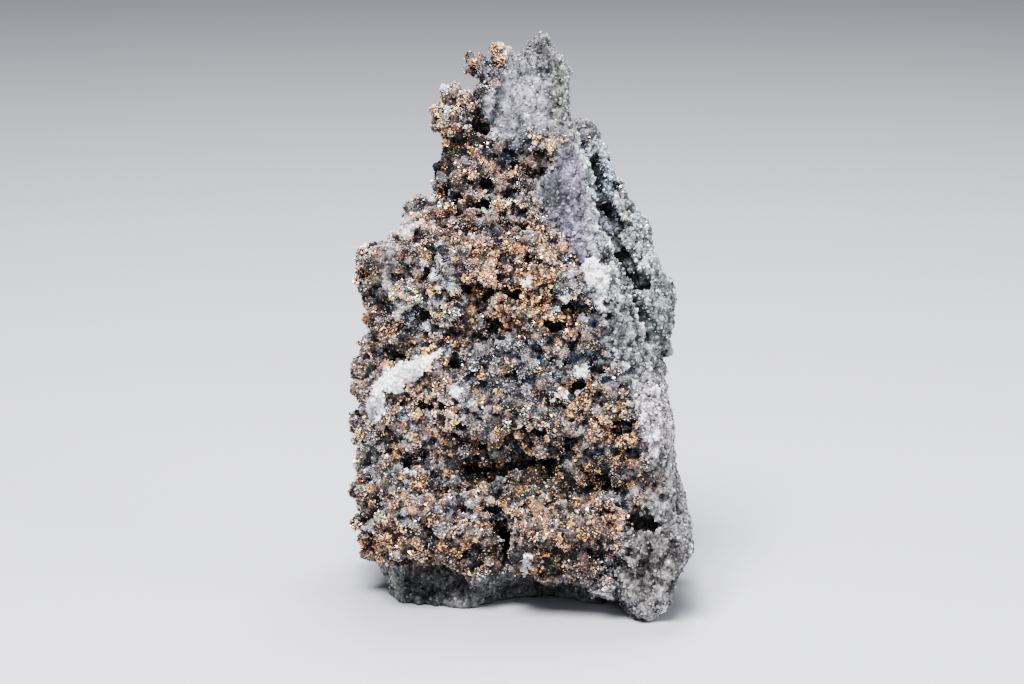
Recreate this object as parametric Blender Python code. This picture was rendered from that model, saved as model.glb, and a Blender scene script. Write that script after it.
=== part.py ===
"""A free-standing specimen of native silver: a crust of silver crystals grown over a slab of grey rock.

The rock and the silver grew together, so the specimen is one solid. It is built from three rough blocks,
with the lumps and hollows that show on them, and its surface is then broken up: into rounded knobs on the
silver crust, and into tilted facets and steps on the bare rock. The underside is ground flat only where the
specimen touches the table.

Sizes below are millimetres. X runs to the right and Y away from the viewer. +Z is up, and the table is
at Z = 0.
"""

import math

import bmesh
import bpy
from mathutils import Matrix, Vector, noise

MM = 0.001
NAME = "native_silver"

# How far the face of the specimen is turned: its left edge lies further back than its right edge.
FACE_SLANT = 0.22
TRIANGLES = 9600
THINNING_BIAS = 0.003
FIRST_VOXEL = 0.4
LAST_VOXEL = 0.28

# Each block is a stack of sections: height, left edge, right edge, front, back.
# Front and back are taken at X = 0.
BODY_SECTIONS = (
    (-1.2, -8.6, 8.9, -7.2, 5.2),
    (0.3, -9.2, 9.4, -7.1, 5.5),
    (1.7, -9.7, 9.8, -7.0, 6.0),
    (2.9, -10.1, 10.2, -7.0, 6.3),
    (4.2, -10.4, 11.7, -7.8, 6.5),
    (5.6, -11.0, 11.6, -8.3, 6.6),
    (7.4, -11.4, 11.0, -8.0, 6.5),
    (8.6, -11.6, 10.7, -7.2, 6.3),
    (10.4, -11.6, 10.5, -6.6, 6.1),
    (13.0, -11.7, 10.3, -7.3, 5.9),
    (15.6, -11.6, 9.4, -7.3, 5.6),
    (17.0, -10.6, 8.8, -6.9, 5.4),
    (18.6, -10.2, 8.2, -6.3, 5.2),
    (20.4, -10.6, 7.6, -6.6, 4.6),
    (23.4, -10.8, 6.9, -6.7, 3.6),
    (24.9, -10.6, 6.5, -6.3, 2.6),
    (25.5, -9.4, 6.4, -6.1, 2.3),
    (26.7, -9.0, 6.1, -5.2, 2.0),
    (27.4, -7.4, 5.4, -4.6, 1.8),
)
SLAB_SECTIONS = (
    (21.0, -6.0, 7.3, -5.9, 4.8),
    (25.4, -5.8, 6.3, -5.0, 4.4),
    (28.2, -5.2, 5.4, -4.1, 3.8),
    (30.5, -4.8, 4.8, -3.6, 3.2),
    (31.8, -3.2, 4.5, -3.4, 2.9),
    (33.0, -2.4, 3.8, -3.2, 2.5),
    (35.0, -2.4, 3.0, -2.9, 2.0),
    (36.6, -2.2, 3.2, -2.6, 1.5),
    (37.6, -1.0, 2.7, -2.3, 1.1),
    (38.4, 0.2, 2.1, -1.9, 0.7),
    (39.9, 1.0, 1.6, -1.2, 0.2),
)
RIDGE_SECTIONS = (
    (16.9, 4.0, 8.2, -1.4, 5.0),
    (17.5, 4.0, 9.9, -1.8, 5.6),
    (18.6, 4.0, 10.2, -1.8, 6.0),
    (20.6, 4.0, 10.5, -1.4, 6.2),
    (23.3, 3.5, 9.6, -0.8, 6.0),
    (25.5, 3.0, 8.7, -0.2, 5.6),
    (27.2, 3.0, 7.4, 0.2, 5.0),
    (29.6, 2.5, 6.0, 0.6, 4.6),
    (32.0, 2.5, 5.3, 1.0, 4.0),
    (33.0, 3.8, 4.9, 1.6, 3.2),
)
CHAMFER = 1.3
# A chamfer takes no more than this share of its section's width or depth.
CHAMFER_SHARE = 0.3
# How far each chamfer runs back from its corner, in chamfers.
LEFT_CUT = 1.5
SHARP_CUT = 0.35
SHARP_CUT_BACK = 0.3
BACK_RIGHT_CUT = 1.6
BACK_LEFT_CUT = 1.4
# The back is turned less than the face: its left corner is placed as if it lay this much nearer to X = 0.
BACK_TURN = 0.6

# Lumps that stand out of the face: X, Z, half width, half height, how far proud.
FACE_LUMPS = {
    "left shoulder": (-7.2, 25.2, 2.1, 1.5, 1.0),
    "left outer column": (-9.9, 22.0, 1.2, 2.9, 0.8),
    "crust brow": (-1.0, 24.6, 3.4, 2.1, 1.1),
    "brow, right end": (2.4, 24.2, 1.7, 1.6, 1.2),
    "pale rib": (-4.9, 22.8, 0.8, 3.1, 0.9),
    "crust beside the slab": (-3.3, 29.6, 2.1, 2.1, 1.0),
    "crust under the slab": (-0.9, 27.8, 2.0, 1.1, 1.0),
    "knob band, left": (-1.3, 32.2, 1.2, 1.0, 1.2),
    "knob band, right": (1.2, 31.9, 1.6, 0.9, 1.2),
    "left bulge": (-10.2, 15.1, 1.8, 1.2, 0.8),
    "white vein": (-7.3, 16.5, 2.3, 0.8, 0.7),
    "white patch": (-9.9, 14.2, 0.7, 1.5, 0.7),
    "middle ledge": (0.9, 18.2, 5.4, 0.8, 0.8),
    "middle swell": (-2.0, 14.2, 4.4, 1.8, 0.7),
    "middle swell, right": (4.4, 13.4, 2.6, 1.6, 0.6),
    "lower lip, left": (-6.4, 6.1, 4.2, 2.0, 1.0),
    "lower lip, right": (3.0, 6.0, 3.5, 2.2, 1.2),
    "hanging lobe": (-3.5, 3.1, 1.5, 0.9, 1.2),
    "left knob": (-11.2, 8.0, 0.9, 0.9, 0.9),
    "right foot": (8.6, 2.5, 2.0, 2.7, 1.2),
    "right pale bulge": (8.9, 13.0, 1.1, 2.6, 0.6),
}
# Hollows in the face: X, Z, half width, half height, depth.
FACE_HOLLOWS = {
    "recess, left end": (-3.1, 9.5, 1.5, 1.2, 2.2),
    "recess, middle": (0.9, 10.2, 3.2, 1.1, 2.0),
    "recess, right end": (5.3, 9.6, 2.4, 1.1, 1.8),
    "crevice": (-1.0, 4.7, 0.7, 2.2, 3.0),
    "crevice top": (-1.7, 7.6, 0.6, 0.6, 1.2),
    "hollow by the right foot": (8.0, 7.0, 1.1, 1.1, 1.9),
    "pit in the ledge's top, left": (-1.6, 20.0, 0.9, 0.6, 1.4),
    "pit in the ledge's top, middle": (0.4, 19.2, 0.8, 0.5, 1.2),
    "pit in the ledge's top, right": (4.2, 19.5, 1.0, 0.7, 1.3),
    "pit under the brow": (2.6, 21.6, 1.3, 0.8, 1.5),
    "pit by the rib": (-3.1, 22.8, 0.8, 0.9, 1.5),
    "pit left of the rib": (-6.9, 20.7, 1.3, 1.0, 1.3),
    "left outer groove": (-8.6, 22.6, 0.6, 2.2, 0.9),
    "dark under the knob band": (1.2, 30.8, 1.6, 0.6, 1.4),
    "dark beside the crust": (-1.0, 28.9, 0.8, 0.6, 1.1),
    "shoulder pit": (-5.7, 26.8, 0.7, 0.7, 1.2),
    "left edge hollow": (-11.1, 13.6, 0.6, 1.0, 2.0),
    "pit over the vein": (-8.3, 18.0, 1.0, 0.6, 1.2),
    "pit under the swell": (-7.9, 10.4, 0.9, 0.6, 1.1),
    "undercut, left": (-6.9, 2.0, 3.1, 1.9, 1.7),
}
# Round hollows down the seam between the slab and the ridge behind it, and one beside the slab's top:
# X, Y, Z, radius. Each is taller than it is wide.
ROUND_HOLLOW_HEIGHT = 1.4
ROUND_HOLLOWS = (
    (5.1, -0.8, 28.7, 1.0),
    (6.1, -1.4, 26.1, 1.1),
    (6.7, -2.0, 23.2, 1.1),
    (8.2, -2.0, 22.2, 0.9),
    (7.6, -2.2, 20.0, 1.0),
    (9.4, -2.6, 16.2, 0.9),
    (-2.5, -3.1, 33.6, 0.7),
)
# Clusters of rounded knobs at the upper left, and one at the ridge's end: X, Y, Z, radius.
KNOBS = (
    (-4.3, -2.0, 35.3, 0.85),
    (-3.5, -2.2, 34.5, 0.90),
    (-5.0, -2.1, 33.7, 0.90),
    (-4.0, -2.4, 33.2, 0.90),
    (-3.0, -1.6, 35.1, 0.80),
    (-2.9, -1.4, 33.4, 1.00),
    (-3.4, -1.8, 32.2, 1.00),
    (-2.5, -1.7, 37.0, 0.75),
    (-1.9, -1.6, 37.6, 0.80),
    (-2.4, -1.5, 36.1, 0.75),
    (-4.6, -2.0, 31.3, 0.80),
    (-4.9, -2.1, 29.5, 0.80),
    (-4.4, -2.4, 28.3, 0.80),
    (9.8, -1.6, 17.5, 0.55),
)
# Hollows of the underside, two open to the front and a shallow one under the back: centre, half sizes.
UNDERSIDE_HOLLOWS = (
    ((1.4, -8.0, 0.0), (4.9, 4.4, 3.1)),
    ((5.6, -9.2, 0.0), (2.2, 4.0, 1.9)),
    ((-0.5, 0.8, -1.6), (7.0, 3.2, 2.2)),
)
# Where the crust ends against bare rock on the right of the face: Z, X.
CRUST_EDGE = (
    (14.0, 8.2),
    (19.5, 7.0),
    (22.0, 4.9),
    (24.0, 3.6),
    (27.0, 1.8),
    (30.0, 1.5),
    (32.0, 3.0),
)
CRUST_FOOT = 3.2
CRUST_TOP = 33.5
# The crust grows on faces turned at least this far to the front, and covers those turned this much further.
CRUST_TURN = 0.15
CRUST_TURN_SOFT = 0.3

# Knobs and pits stand in scattered cells. Their radii are in cells.
# The level between knobs is in knob heights.
KNOB_CELL = 1.45
KNOB_RADIUS = 0.75
KNOB_PROUD = 0.9
KNOB_LEVEL = 0.6
PIT_CELL = 3.4
PIT_RADIUS = 0.3
PIT_DEEP = 1.1
PIT_SHIFT = Vector((7.0, 3.0, 5.0))
FACET_CELL = 3.0
FACET_PROUD = 0.7
FACET_STEP = 0.9
FACET_SEED = 31.0
FACET_STEP_SEED = 5.1
RIPPLE_CELL = 1.1
RIPPLE_PROUD = 0.15
# How much less the crust is thinned out than the plain rock.
CRUST_SPARED = 0.9
CUT_TOLERANCE = 1e-4


def slanted(y, x):
    """Y of a surface that is turned with the face, at this X."""
    return y - FACE_SLANT * x


def row_value(rows, z, column):
    """A column at height z, read off straight lines between rows that start with their height."""
    for low, high in zip(rows, rows[1:]):
        if z <= high[0]:
            share = max(0.0, (z - low[0]) / (high[0] - low[0]))
            return low[column] + share * (high[column] - low[column])
    return rows[-1][column]


def front_at(x, z):
    """Y of the specimen's face, before any lump or hollow."""
    sections = BODY_SECTIONS if z < BODY_SECTIONS[-1][0] else SLAB_SECTIONS
    return slanted(row_value(sections, z, 3), x)


def section_corners(left, right, front, back):
    """The eight corners of one section, counter-clockwise from above.

    The front right corner stays sharp.
    """
    cut = min(CHAMFER, CHAMFER_SHARE * (right - left), CHAMFER_SHARE * (back - front))
    edge = right - SHARP_CUT * cut
    return [
        (left, slanted(front, left) + LEFT_CUT * cut),
        (left + cut, slanted(front, left)),
        (edge - cut, slanted(front, edge)),
        (edge, slanted(front, edge) + SHARP_CUT_BACK * cut),
        (right, slanted(back, right) - BACK_RIGHT_CUT * cut),
        (right - cut, slanted(back, right)),
        (left + BACK_LEFT_CUT * cut, slanted(back, BACK_TURN * left)),
        (left, slanted(back, BACK_TURN * left) - LEFT_CUT * cut),
    ]


def add_block(mesh, sections):
    """A closed block that runs through its sections from bottom to top."""
    rings = [
        [mesh.verts.new(Vector((x, y, z))) for x, y in section_corners(*sizes)]
        for z, *sizes in sections
    ]
    for low, high in zip(rings, rings[1:]):
        for i in range(len(low)):
            j = (i + 1) % len(low)
            mesh.faces.new((low[i], low[j], high[j], high[i]))
    mesh.faces.new(reversed(rings[0]))
    mesh.faces.new(rings[-1])


def add_ellipsoid(mesh, centre, half_sizes):
    """A faceted ellipsoid."""
    place = Matrix.Translation(centre) @ Matrix.Diagonal((*half_sizes, 1.0))
    bmesh.ops.create_icosphere(mesh, subdivisions=3, radius=1.0, matrix=place)


def add_on_face(mesh, x, z, half_width, half_height, reach):
    """An ellipsoid whose centre lies in the face and which reaches in and out of it by the same amount."""
    add_ellipsoid(mesh, Vector((x, front_at(x, z), z)), (half_width, reach, half_height))


def object_of(mesh, name):
    """A new object in the scene that holds this bmesh, still in millimetres."""
    data = bpy.data.meshes.new(name)
    mesh.to_mesh(data)
    mesh.free()
    thing = bpy.data.objects.new(name, data)
    bpy.context.scene.collection.objects.link(thing)
    return thing


def rough_blocks():
    """The three blocks with their lumps and knobs, as overlapping shells that are still to be joined."""
    mesh = bmesh.new()
    for sections in (BODY_SECTIONS, SLAB_SECTIONS, RIDGE_SECTIONS):
        add_block(mesh, sections)
    for x, z, half_width, half_height, proud in FACE_LUMPS.values():
        add_on_face(mesh, x, z, half_width, half_height, proud)
    for x, y, z, radius in KNOBS:
        add_ellipsoid(mesh, Vector((x, y, z)), (radius, radius, radius))
    bmesh.ops.recalc_face_normals(mesh, faces=mesh.faces)
    return object_of(mesh, NAME)


def cutters():
    """Everything that is taken away from the blocks, as one hidden object for each hollow."""
    found = []
    for name, (x, z, half_width, half_height, depth) in FACE_HOLLOWS.items():
        mesh = bmesh.new()
        add_on_face(mesh, x, z, half_width, half_height, depth)
        found.append(object_of(mesh, "hollow " + name))
    for x, y, z, radius in ROUND_HOLLOWS:
        mesh = bmesh.new()
        add_ellipsoid(mesh, Vector((x, y, z)), (radius, radius, ROUND_HOLLOW_HEIGHT * radius))
        found.append(object_of(mesh, "round hollow"))
    for centre, half_sizes in UNDERSIDE_HOLLOWS:
        mesh = bmesh.new()
        add_ellipsoid(mesh, Vector(centre), half_sizes)
        found.append(object_of(mesh, "underside hollow"))
    for cutter in found:
        cutter.hide_render = True
        cutter.display_type = "WIRE"
    return found


def evaluated(thing):
    """Replaces the object's mesh by what its modifiers make of it, and drops the modifiers."""
    graph = bpy.context.evaluated_depsgraph_get()
    made = bpy.data.meshes.new_from_object(thing.evaluated_get(graph))
    thing.modifiers.clear()
    thing.data = made


def remesh(thing, voxel):
    """One even skin round everything that the object holds."""
    modifier = thing.modifiers.new("even skin", "REMESH")
    modifier.mode = "VOXEL"
    modifier.voxel_size = voxel
    evaluated(thing)


def cut_hollows(thing):
    for cutter in cutters():
        modifier = thing.modifiers.new(cutter.name, "BOOLEAN")
        modifier.operation = "DIFFERENCE"
        modifier.object = cutter
    evaluated(thing)


def crust_share(point, normal):
    """1 where the surface is silver crust, 0 where it is bare rock, with a soft edge between them."""
    faces_front = min(1.0, max(0.0, (-normal.y - CRUST_TURN) / CRUST_TURN_SOFT))
    left_of_edge = min(1.0, max(0.0, row_value(CRUST_EDGE, point.z, 1) - point.x))
    above_foot = min(1.0, max(0.0, point.z - CRUST_FOOT))
    below_top = min(1.0, max(0.0, CRUST_TOP - point.z))
    return faces_front * left_of_edge * above_foot * below_top


def knob_height(point):
    """Rounded knobs, side by side, in units of the knobs' height."""
    distance = noise.voronoi(point / KNOB_CELL)[0][0]
    return math.sqrt(max(0.0, 1.0 - (distance / KNOB_RADIUS) ** 2)) - KNOB_LEVEL


def pit_depth(point):
    """Scattered round pits, in units of the pits' depth."""
    distance = noise.voronoi(point / PIT_CELL + PIT_SHIFT)[0][0]
    return max(0.0, 1.0 - (distance / PIT_RADIUS) ** 2)


def facet_height(point):
    """Tilted facets with a step between neighbours, in units of the facets' height."""
    place = point / FACET_CELL
    seed = noise.voronoi(place)[1][0]
    tilt = noise.cell_vector(FACET_SEED * seed) - Vector((0.5, 0.5, 0.5))
    return tilt.dot(place - seed) + FACET_STEP * noise.noise(FACET_STEP_SEED * seed)


def broken_surface(thing):
    """Moves every vertex along its normal, into knobs on the crust and into facets on the rock."""
    mesh = bmesh.new()
    mesh.from_mesh(thing.data)
    mesh.normal_update()
    moves = []
    for vertex in mesh.verts:
        crust = crust_share(vertex.co, vertex.normal)
        height = crust * (KNOB_PROUD * knob_height(vertex.co) - PIT_DEEP * pit_depth(vertex.co))
        height += (1.0 - crust) * FACET_PROUD * facet_height(vertex.co)
        height += RIPPLE_PROUD * noise.noise(vertex.co / RIPPLE_CELL)
        moves.append(height * vertex.normal)
    for vertex, move in zip(mesh.verts, moves):
        vertex.co += move
    mesh.to_mesh(thing.data)
    mesh.free()


def linked_vertices(start):
    """Every vertex that edges join to this one."""
    found = {start}
    waiting = [start]
    while waiting:
        vertex = waiting.pop()
        for edge in vertex.link_edges:
            other = edge.other_vert(vertex)
            if other not in found:
                found.add(other)
                waiting.append(other)
    return found


def drop_crumbs(thing):
    """Keeps the biggest closed skin, and drops any crumb that two pits have cut off between them."""
    mesh = bmesh.new()
    mesh.from_mesh(thing.data)
    left = set(mesh.verts)
    skins = []
    while left:
        skins.append(linked_vertices(next(iter(left))))
        left -= skins[-1]
    skins.sort(key=len)
    crumbs = [vertex for skin in skins[:-1] for vertex in skin]
    bmesh.ops.delete(mesh, geom=crumbs, context="VERTS")
    mesh.to_mesh(thing.data)
    mesh.free()


def fewer_faces(thing):
    """Thins out the faces, on the plain rock more than on the crust."""
    group = thing.vertex_groups.new(name="plain rock")
    for vertex in thing.data.vertices:
        plain = 1.0 - CRUST_SPARED * crust_share(vertex.co, vertex.normal)
        group.add([vertex.index], plain, "REPLACE")
    modifier = thing.modifiers.new("fewer faces", "DECIMATE")
    modifier.vertex_group = group.name
    modifier.vertex_group_factor = THINNING_BIAS
    modifier.ratio = TRIANGLES / sum(len(face.vertices) - 2 for face in thing.data.polygons)
    modifier.use_collapse_triangulate = True
    evaluated(thing)


def flat_feet(thing):
    """Grinds the underside flat at Z = 0, so that the specimen stands on real faces.

    It is then centred over the origin and scaled to metres.
    """
    mesh = bmesh.new()
    mesh.from_mesh(thing.data)
    everything = [*mesh.verts, *mesh.edges, *mesh.faces]
    cut = bmesh.ops.bisect_plane(
        mesh,
        geom=everything,
        dist=CUT_TOLERANCE,
        plane_co=(0, 0, 0),
        plane_no=(0, 0, 1),
        clear_inner=True,
    )
    rim = [edge for edge in cut["geom_cut"] if isinstance(edge, bmesh.types.BMEdge)]
    for vertex in {vertex for edge in rim for vertex in edge.verts}:
        vertex.co.z = 0.0
    bmesh.ops.triangle_fill(mesh, use_beauty=True, edges=rim, normal=(0, 0, -1))
    bmesh.ops.recalc_face_normals(mesh, faces=mesh.faces)
    across = [vertex.co.x for vertex in mesh.verts]
    deep = [vertex.co.y for vertex in mesh.verts]
    middle = Vector((min(across) + max(across), min(deep) + max(deep), 0.0)) / 2
    bmesh.ops.translate(mesh, vec=-middle, verts=mesh.verts)
    bmesh.ops.scale(mesh, vec=(MM, MM, MM), verts=mesh.verts)
    mesh.to_mesh(thing.data)
    mesh.free()


def tarnished_silver():
    """Grey, tarnished native silver with the dull shine of a rough metal."""
    material = bpy.data.materials.new("tarnished native silver")
    material.use_nodes = True
    shader = material.node_tree.nodes["Principled BSDF"]
    shader.inputs["Base Color"].default_value = (0.30, 0.27, 0.25, 1.0)
    shader.inputs["Metallic"].default_value = 0.5
    shader.inputs["Roughness"].default_value = 0.6
    return material


def specimen():
    thing = rough_blocks()
    remesh(thing, FIRST_VOXEL)
    cut_hollows(thing)
    remesh(thing, LAST_VOXEL)
    broken_surface(thing)
    remesh(thing, LAST_VOXEL)
    drop_crumbs(thing)
    fewer_faces(thing)
    flat_feet(thing)
    thing.data.materials.clear()
    thing.data.materials.append(tarnished_silver())


for old in list(bpy.data.objects):
    bpy.data.objects.remove(old)
specimen()
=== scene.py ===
"""The looks of a free-standing specimen of native silver: grey host rock under a crust of tarnished crystals.

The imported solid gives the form. Its surface is copied as one fine skin, with knobs grown on the crust and
holes sunk between them. Tens of thousands of small crystals and rock grains are then set on it as joined
meshes.

Sizes are millimetres unless a comment says otherwise, and the scene itself is in metres. +Z is up and the
crusted face looks towards -Y. A place in the front view is given as X and H: millimetres to the right and up
on an upright plane through the specimen's middle that leans back to face the camera.
"""

import math
from collections import namedtuple

import bmesh
import bpy
import numpy as np
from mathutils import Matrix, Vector, noise
from mathutils.bvhtree import BVHTree
from mathutils.kdtree import KDTree


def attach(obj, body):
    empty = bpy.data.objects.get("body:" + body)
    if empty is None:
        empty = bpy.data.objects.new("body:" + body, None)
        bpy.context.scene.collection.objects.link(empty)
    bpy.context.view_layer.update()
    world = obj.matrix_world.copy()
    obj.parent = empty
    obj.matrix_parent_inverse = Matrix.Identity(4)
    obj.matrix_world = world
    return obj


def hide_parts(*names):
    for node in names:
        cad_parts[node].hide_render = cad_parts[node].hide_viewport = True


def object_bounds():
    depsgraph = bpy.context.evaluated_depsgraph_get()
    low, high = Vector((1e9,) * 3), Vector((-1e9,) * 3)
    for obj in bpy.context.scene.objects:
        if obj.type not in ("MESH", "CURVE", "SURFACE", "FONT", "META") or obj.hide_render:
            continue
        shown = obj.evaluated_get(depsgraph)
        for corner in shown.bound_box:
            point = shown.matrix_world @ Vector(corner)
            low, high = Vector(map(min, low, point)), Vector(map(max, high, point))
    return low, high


MM = 0.001
BODY = "root"
NODE = "native_silver"
SEED = 47

CAMERA_RISE_DEG = 13.0
CAMERA_LENS = 120.0
SENSOR_WIDTH = 36.0
CAMERA_DISTANCE = 238.7
CAMERA_TARGET = (-0.56, 1.46, 17.5)

# Soft square lamps, in metres and watts: place, width, power.
LAMPS = {
    "key": ((-0.05, -0.13, 0.24), 0.11, 1.2),
    "front": ((0.03, -0.27, 0.09), 0.16, 0.16),
    "fill": ((0.22, -0.12, 0.12), 0.12, 0.35),
    "top": ((0.02, 0.08, 0.26), 0.12, 0.6),
}
LAMP_AIM = (0.0, 0.0, 0.02)
SKY = ("#DFE8F8", 0.22)
PAPER = "#BEBEC2"

# What is scattered on the skin: places tried, usual radius, spread of the radii as a share, and the least
# distance between two, as a share of their radii together.
Grains = namedtuple("Grains", "tries radius spread room")
SILVER_CRYSTALS = Grains(300000, 0.082, 0.36, 0.72)
ROCK_CRUMBS = Grains(26000, 0.1, 0.35, 0.9)
CALCITE_CRYSTALS = Grains(4000, 0.13, 0.45, 1.0)
# Two rounds of growth on the crust: what grows, how far it stands up in radii, and the skin's voxel after it.
GROWTHS = {
    "lumps": (Grains(3000, 0.62, 0.3, 1.0), 0.1, 0.2),
    "knobs": (Grains(20000, 0.30, 0.38, 0.84), 0.38, 0.15),
}
FIRST_VOXEL = 0.2
# The crust is first sunk this far, to make room for its knobs, and its holes further.
MAKE_ROOM = 0.5
HOLE_DEPTH = 0.9
# How far knobs and grains may stand past the solid's box.
KNOB_SPARE = 0.2
GRAIN_SPARE = 0.25

# How many shapes of knob there are, and how uneven each is, in radii.
KNOB_SHAPES = 4
KNOB_UNEVEN = 0.12
# Crystals, in radii: a cube's side, how much each axis is stretched, and how uneven the corners are.
CUBE_SIDE = 1.3
CRYSTAL_STRETCH = (0.75, 1.3)
CRYSTAL_UNEVEN = 0.08
# Silver grows mostly as octahedra here.
SILVER_SHAPES = ("octahedron", "cube", "octahedron", "octahedron", "octahedron")
CRUMB_SHAPES = ("octahedron", "cube", "octahedron")
CALCITE_SHAPES = ("cube", "cube", "cube", "cube")

# Rays that feel how open a place is: how many, how far they reach, how far they lean off the normal as a
# slope, and how far over the skin they start.
OPEN_RAYS = 6
OPEN_REACH = 1.1
OPEN_LEAN = 1.1
OPEN_START = 0.03
# How many faces wide the surroundings are that a place is raised over, and by how much it begins to be raised
# and wholly is.
RAISED_RINGS = 3
RAISED_OVER = (-0.05, 0.03)

# How deep the relief goes or how far it stands out: on the crust, on broken rock, along the seam, on calcite.
FINE_GRAIN = 0.06
PIT_DEPTH = 0.6
CHIP_HEIGHT = 0.12
STEP_HEIGHT = 0.22
SEAM_DEPTH = 0.7
EDGE_HEIGHT = 0.2
TROUGH_DEPTH = 0.55
BLOCK_HEIGHT = 0.3
# How gritty the crust and the calcite are, from 0 to 1. Bare rock takes its grit from its zones.
CRUST_GRIT = 0.5
CALCITE_GRIT = 0.1
# The share of its faces that the back keeps, because it is seen less closely.
BACK_SHARE = 0.35

# Pattern sizes in the stones, and how far the rock's bedding leans. Dark patches and pale threads are about
# as wide as the real ones. The rock's real grain is under 0.1 mm, too fine to show, and is drawn coarser.
PATCH_SIZE = 0.8
THREAD_SIZE = 1.1
GRAIN_SIZE = 0.19
BEDDING_TILT_DEG = -14.0

# The finishes of the silver, each in five shades from clean faces to thick films of tarnish.
FILMS = {
    "rose": ("#FFD2AC", "#D0A48C", "#977B6E", "#60514C", "#332E2C"),
    "gold": ("#FFCB94", "#CE9F78", "#907763", "#55483E", "#2E2825"),
    "steel": ("#E8E4E2", "#B4AFAD", "#8A8684", "#5E5B5C", "#343437"),
    "blue": ("#A8B2BC", "#737C86", "#4A535E", "#2C3340", "#161B26"),
    "olive": ("#B4AC9C", "#868072", "#5A564C", "#363430", "#1C1C1E"),
    "chalk": ("#F2F0F4", "#D2CFD6", "#ACA9B0", "#807D84", "#4A494E"),
    "mauve": ("#F0E2DA", "#BCA99F", "#8F7E77", "#615653", "#363133"),
}
FILM_NAMES = tuple(FILMS)
# Shares of those five shades among the crystals of a bright knob.
FILM_SHARES = (0.26, 0.33, 0.25, 0.12, 0.04)
# For each finish, in the same order: how readily whole knobs take it, and the share of those that is dull.
KNOB_FINISHES = (1.0, 1.0, 1.0, 0.15, 0.8, 1.0, 1.0)
DULL_SHARES = (0.15, 0.1, 0.55, 0.6, 0.5, 0.6, 0.45)
# Shares of the second, third and fourth shade among knobs, and of a step lighter, none or a step darker among
# the crystals of a dull knob.
KNOB_SHADES = (0.15, 0.55, 0.30)
SPECKLE_SHARES = (0.18, 0.47, 0.35)
# The share of a bright knob's crystals that take its finish, and of those down in gaps that are blue.
KNOB_FOLLOWERS = 0.6
BLUE_IN_GAPS = 0.5
# How large the cleanest crystals, whose lightest film is also a painted highlight, and those of dull knobs
# are beside the usual, and how far crystals stand up.
CLEAN_GLINT_GROWTH = 1.4
DULL_GROWTH = 0.85
CRYSTAL_RISE = 0.3
# The dark skin in the gaps between knobs, thick tarnish and painted shade together, where the crust is grey
# or blue and where it is warm.
COLD_SHADED_TARNISH = "#384258"
WARM_SHADED_TARNISH = "#443831"

# How much of each finish a zone has, in the order rose, gold, steel, blue, olive, chalk, mauve.
MIXES = {
    "copper": (0.36, 0.18, 0.06, 0.04, 0.06, 0.00, 0.30),
    "cream": (0.34, 0.09, 0.08, 0.04, 0.02, 0.08, 0.35),
    "gold": (0.24, 0.34, 0.06, 0.08, 0.08, 0.00, 0.20),
    "grey": (0.03, 0.03, 0.58, 0.18, 0.05, 0.04, 0.09),
    "speckled": (0.18, 0.14, 0.22, 0.12, 0.08, 0.00, 0.26),
    "blue": (0.02, 0.03, 0.35, 0.55, 0.05, 0.00, 0.00),
    "olive": (0.05, 0.17, 0.14, 0.05, 0.45, 0.00, 0.14),
    "pale": (0.04, 0.00, 0.24, 0.02, 0.02, 0.56, 0.12),
    "cold": (0.00, 0.01, 0.36, 0.30, 0.05, 0.28, 0.00),
}

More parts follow.
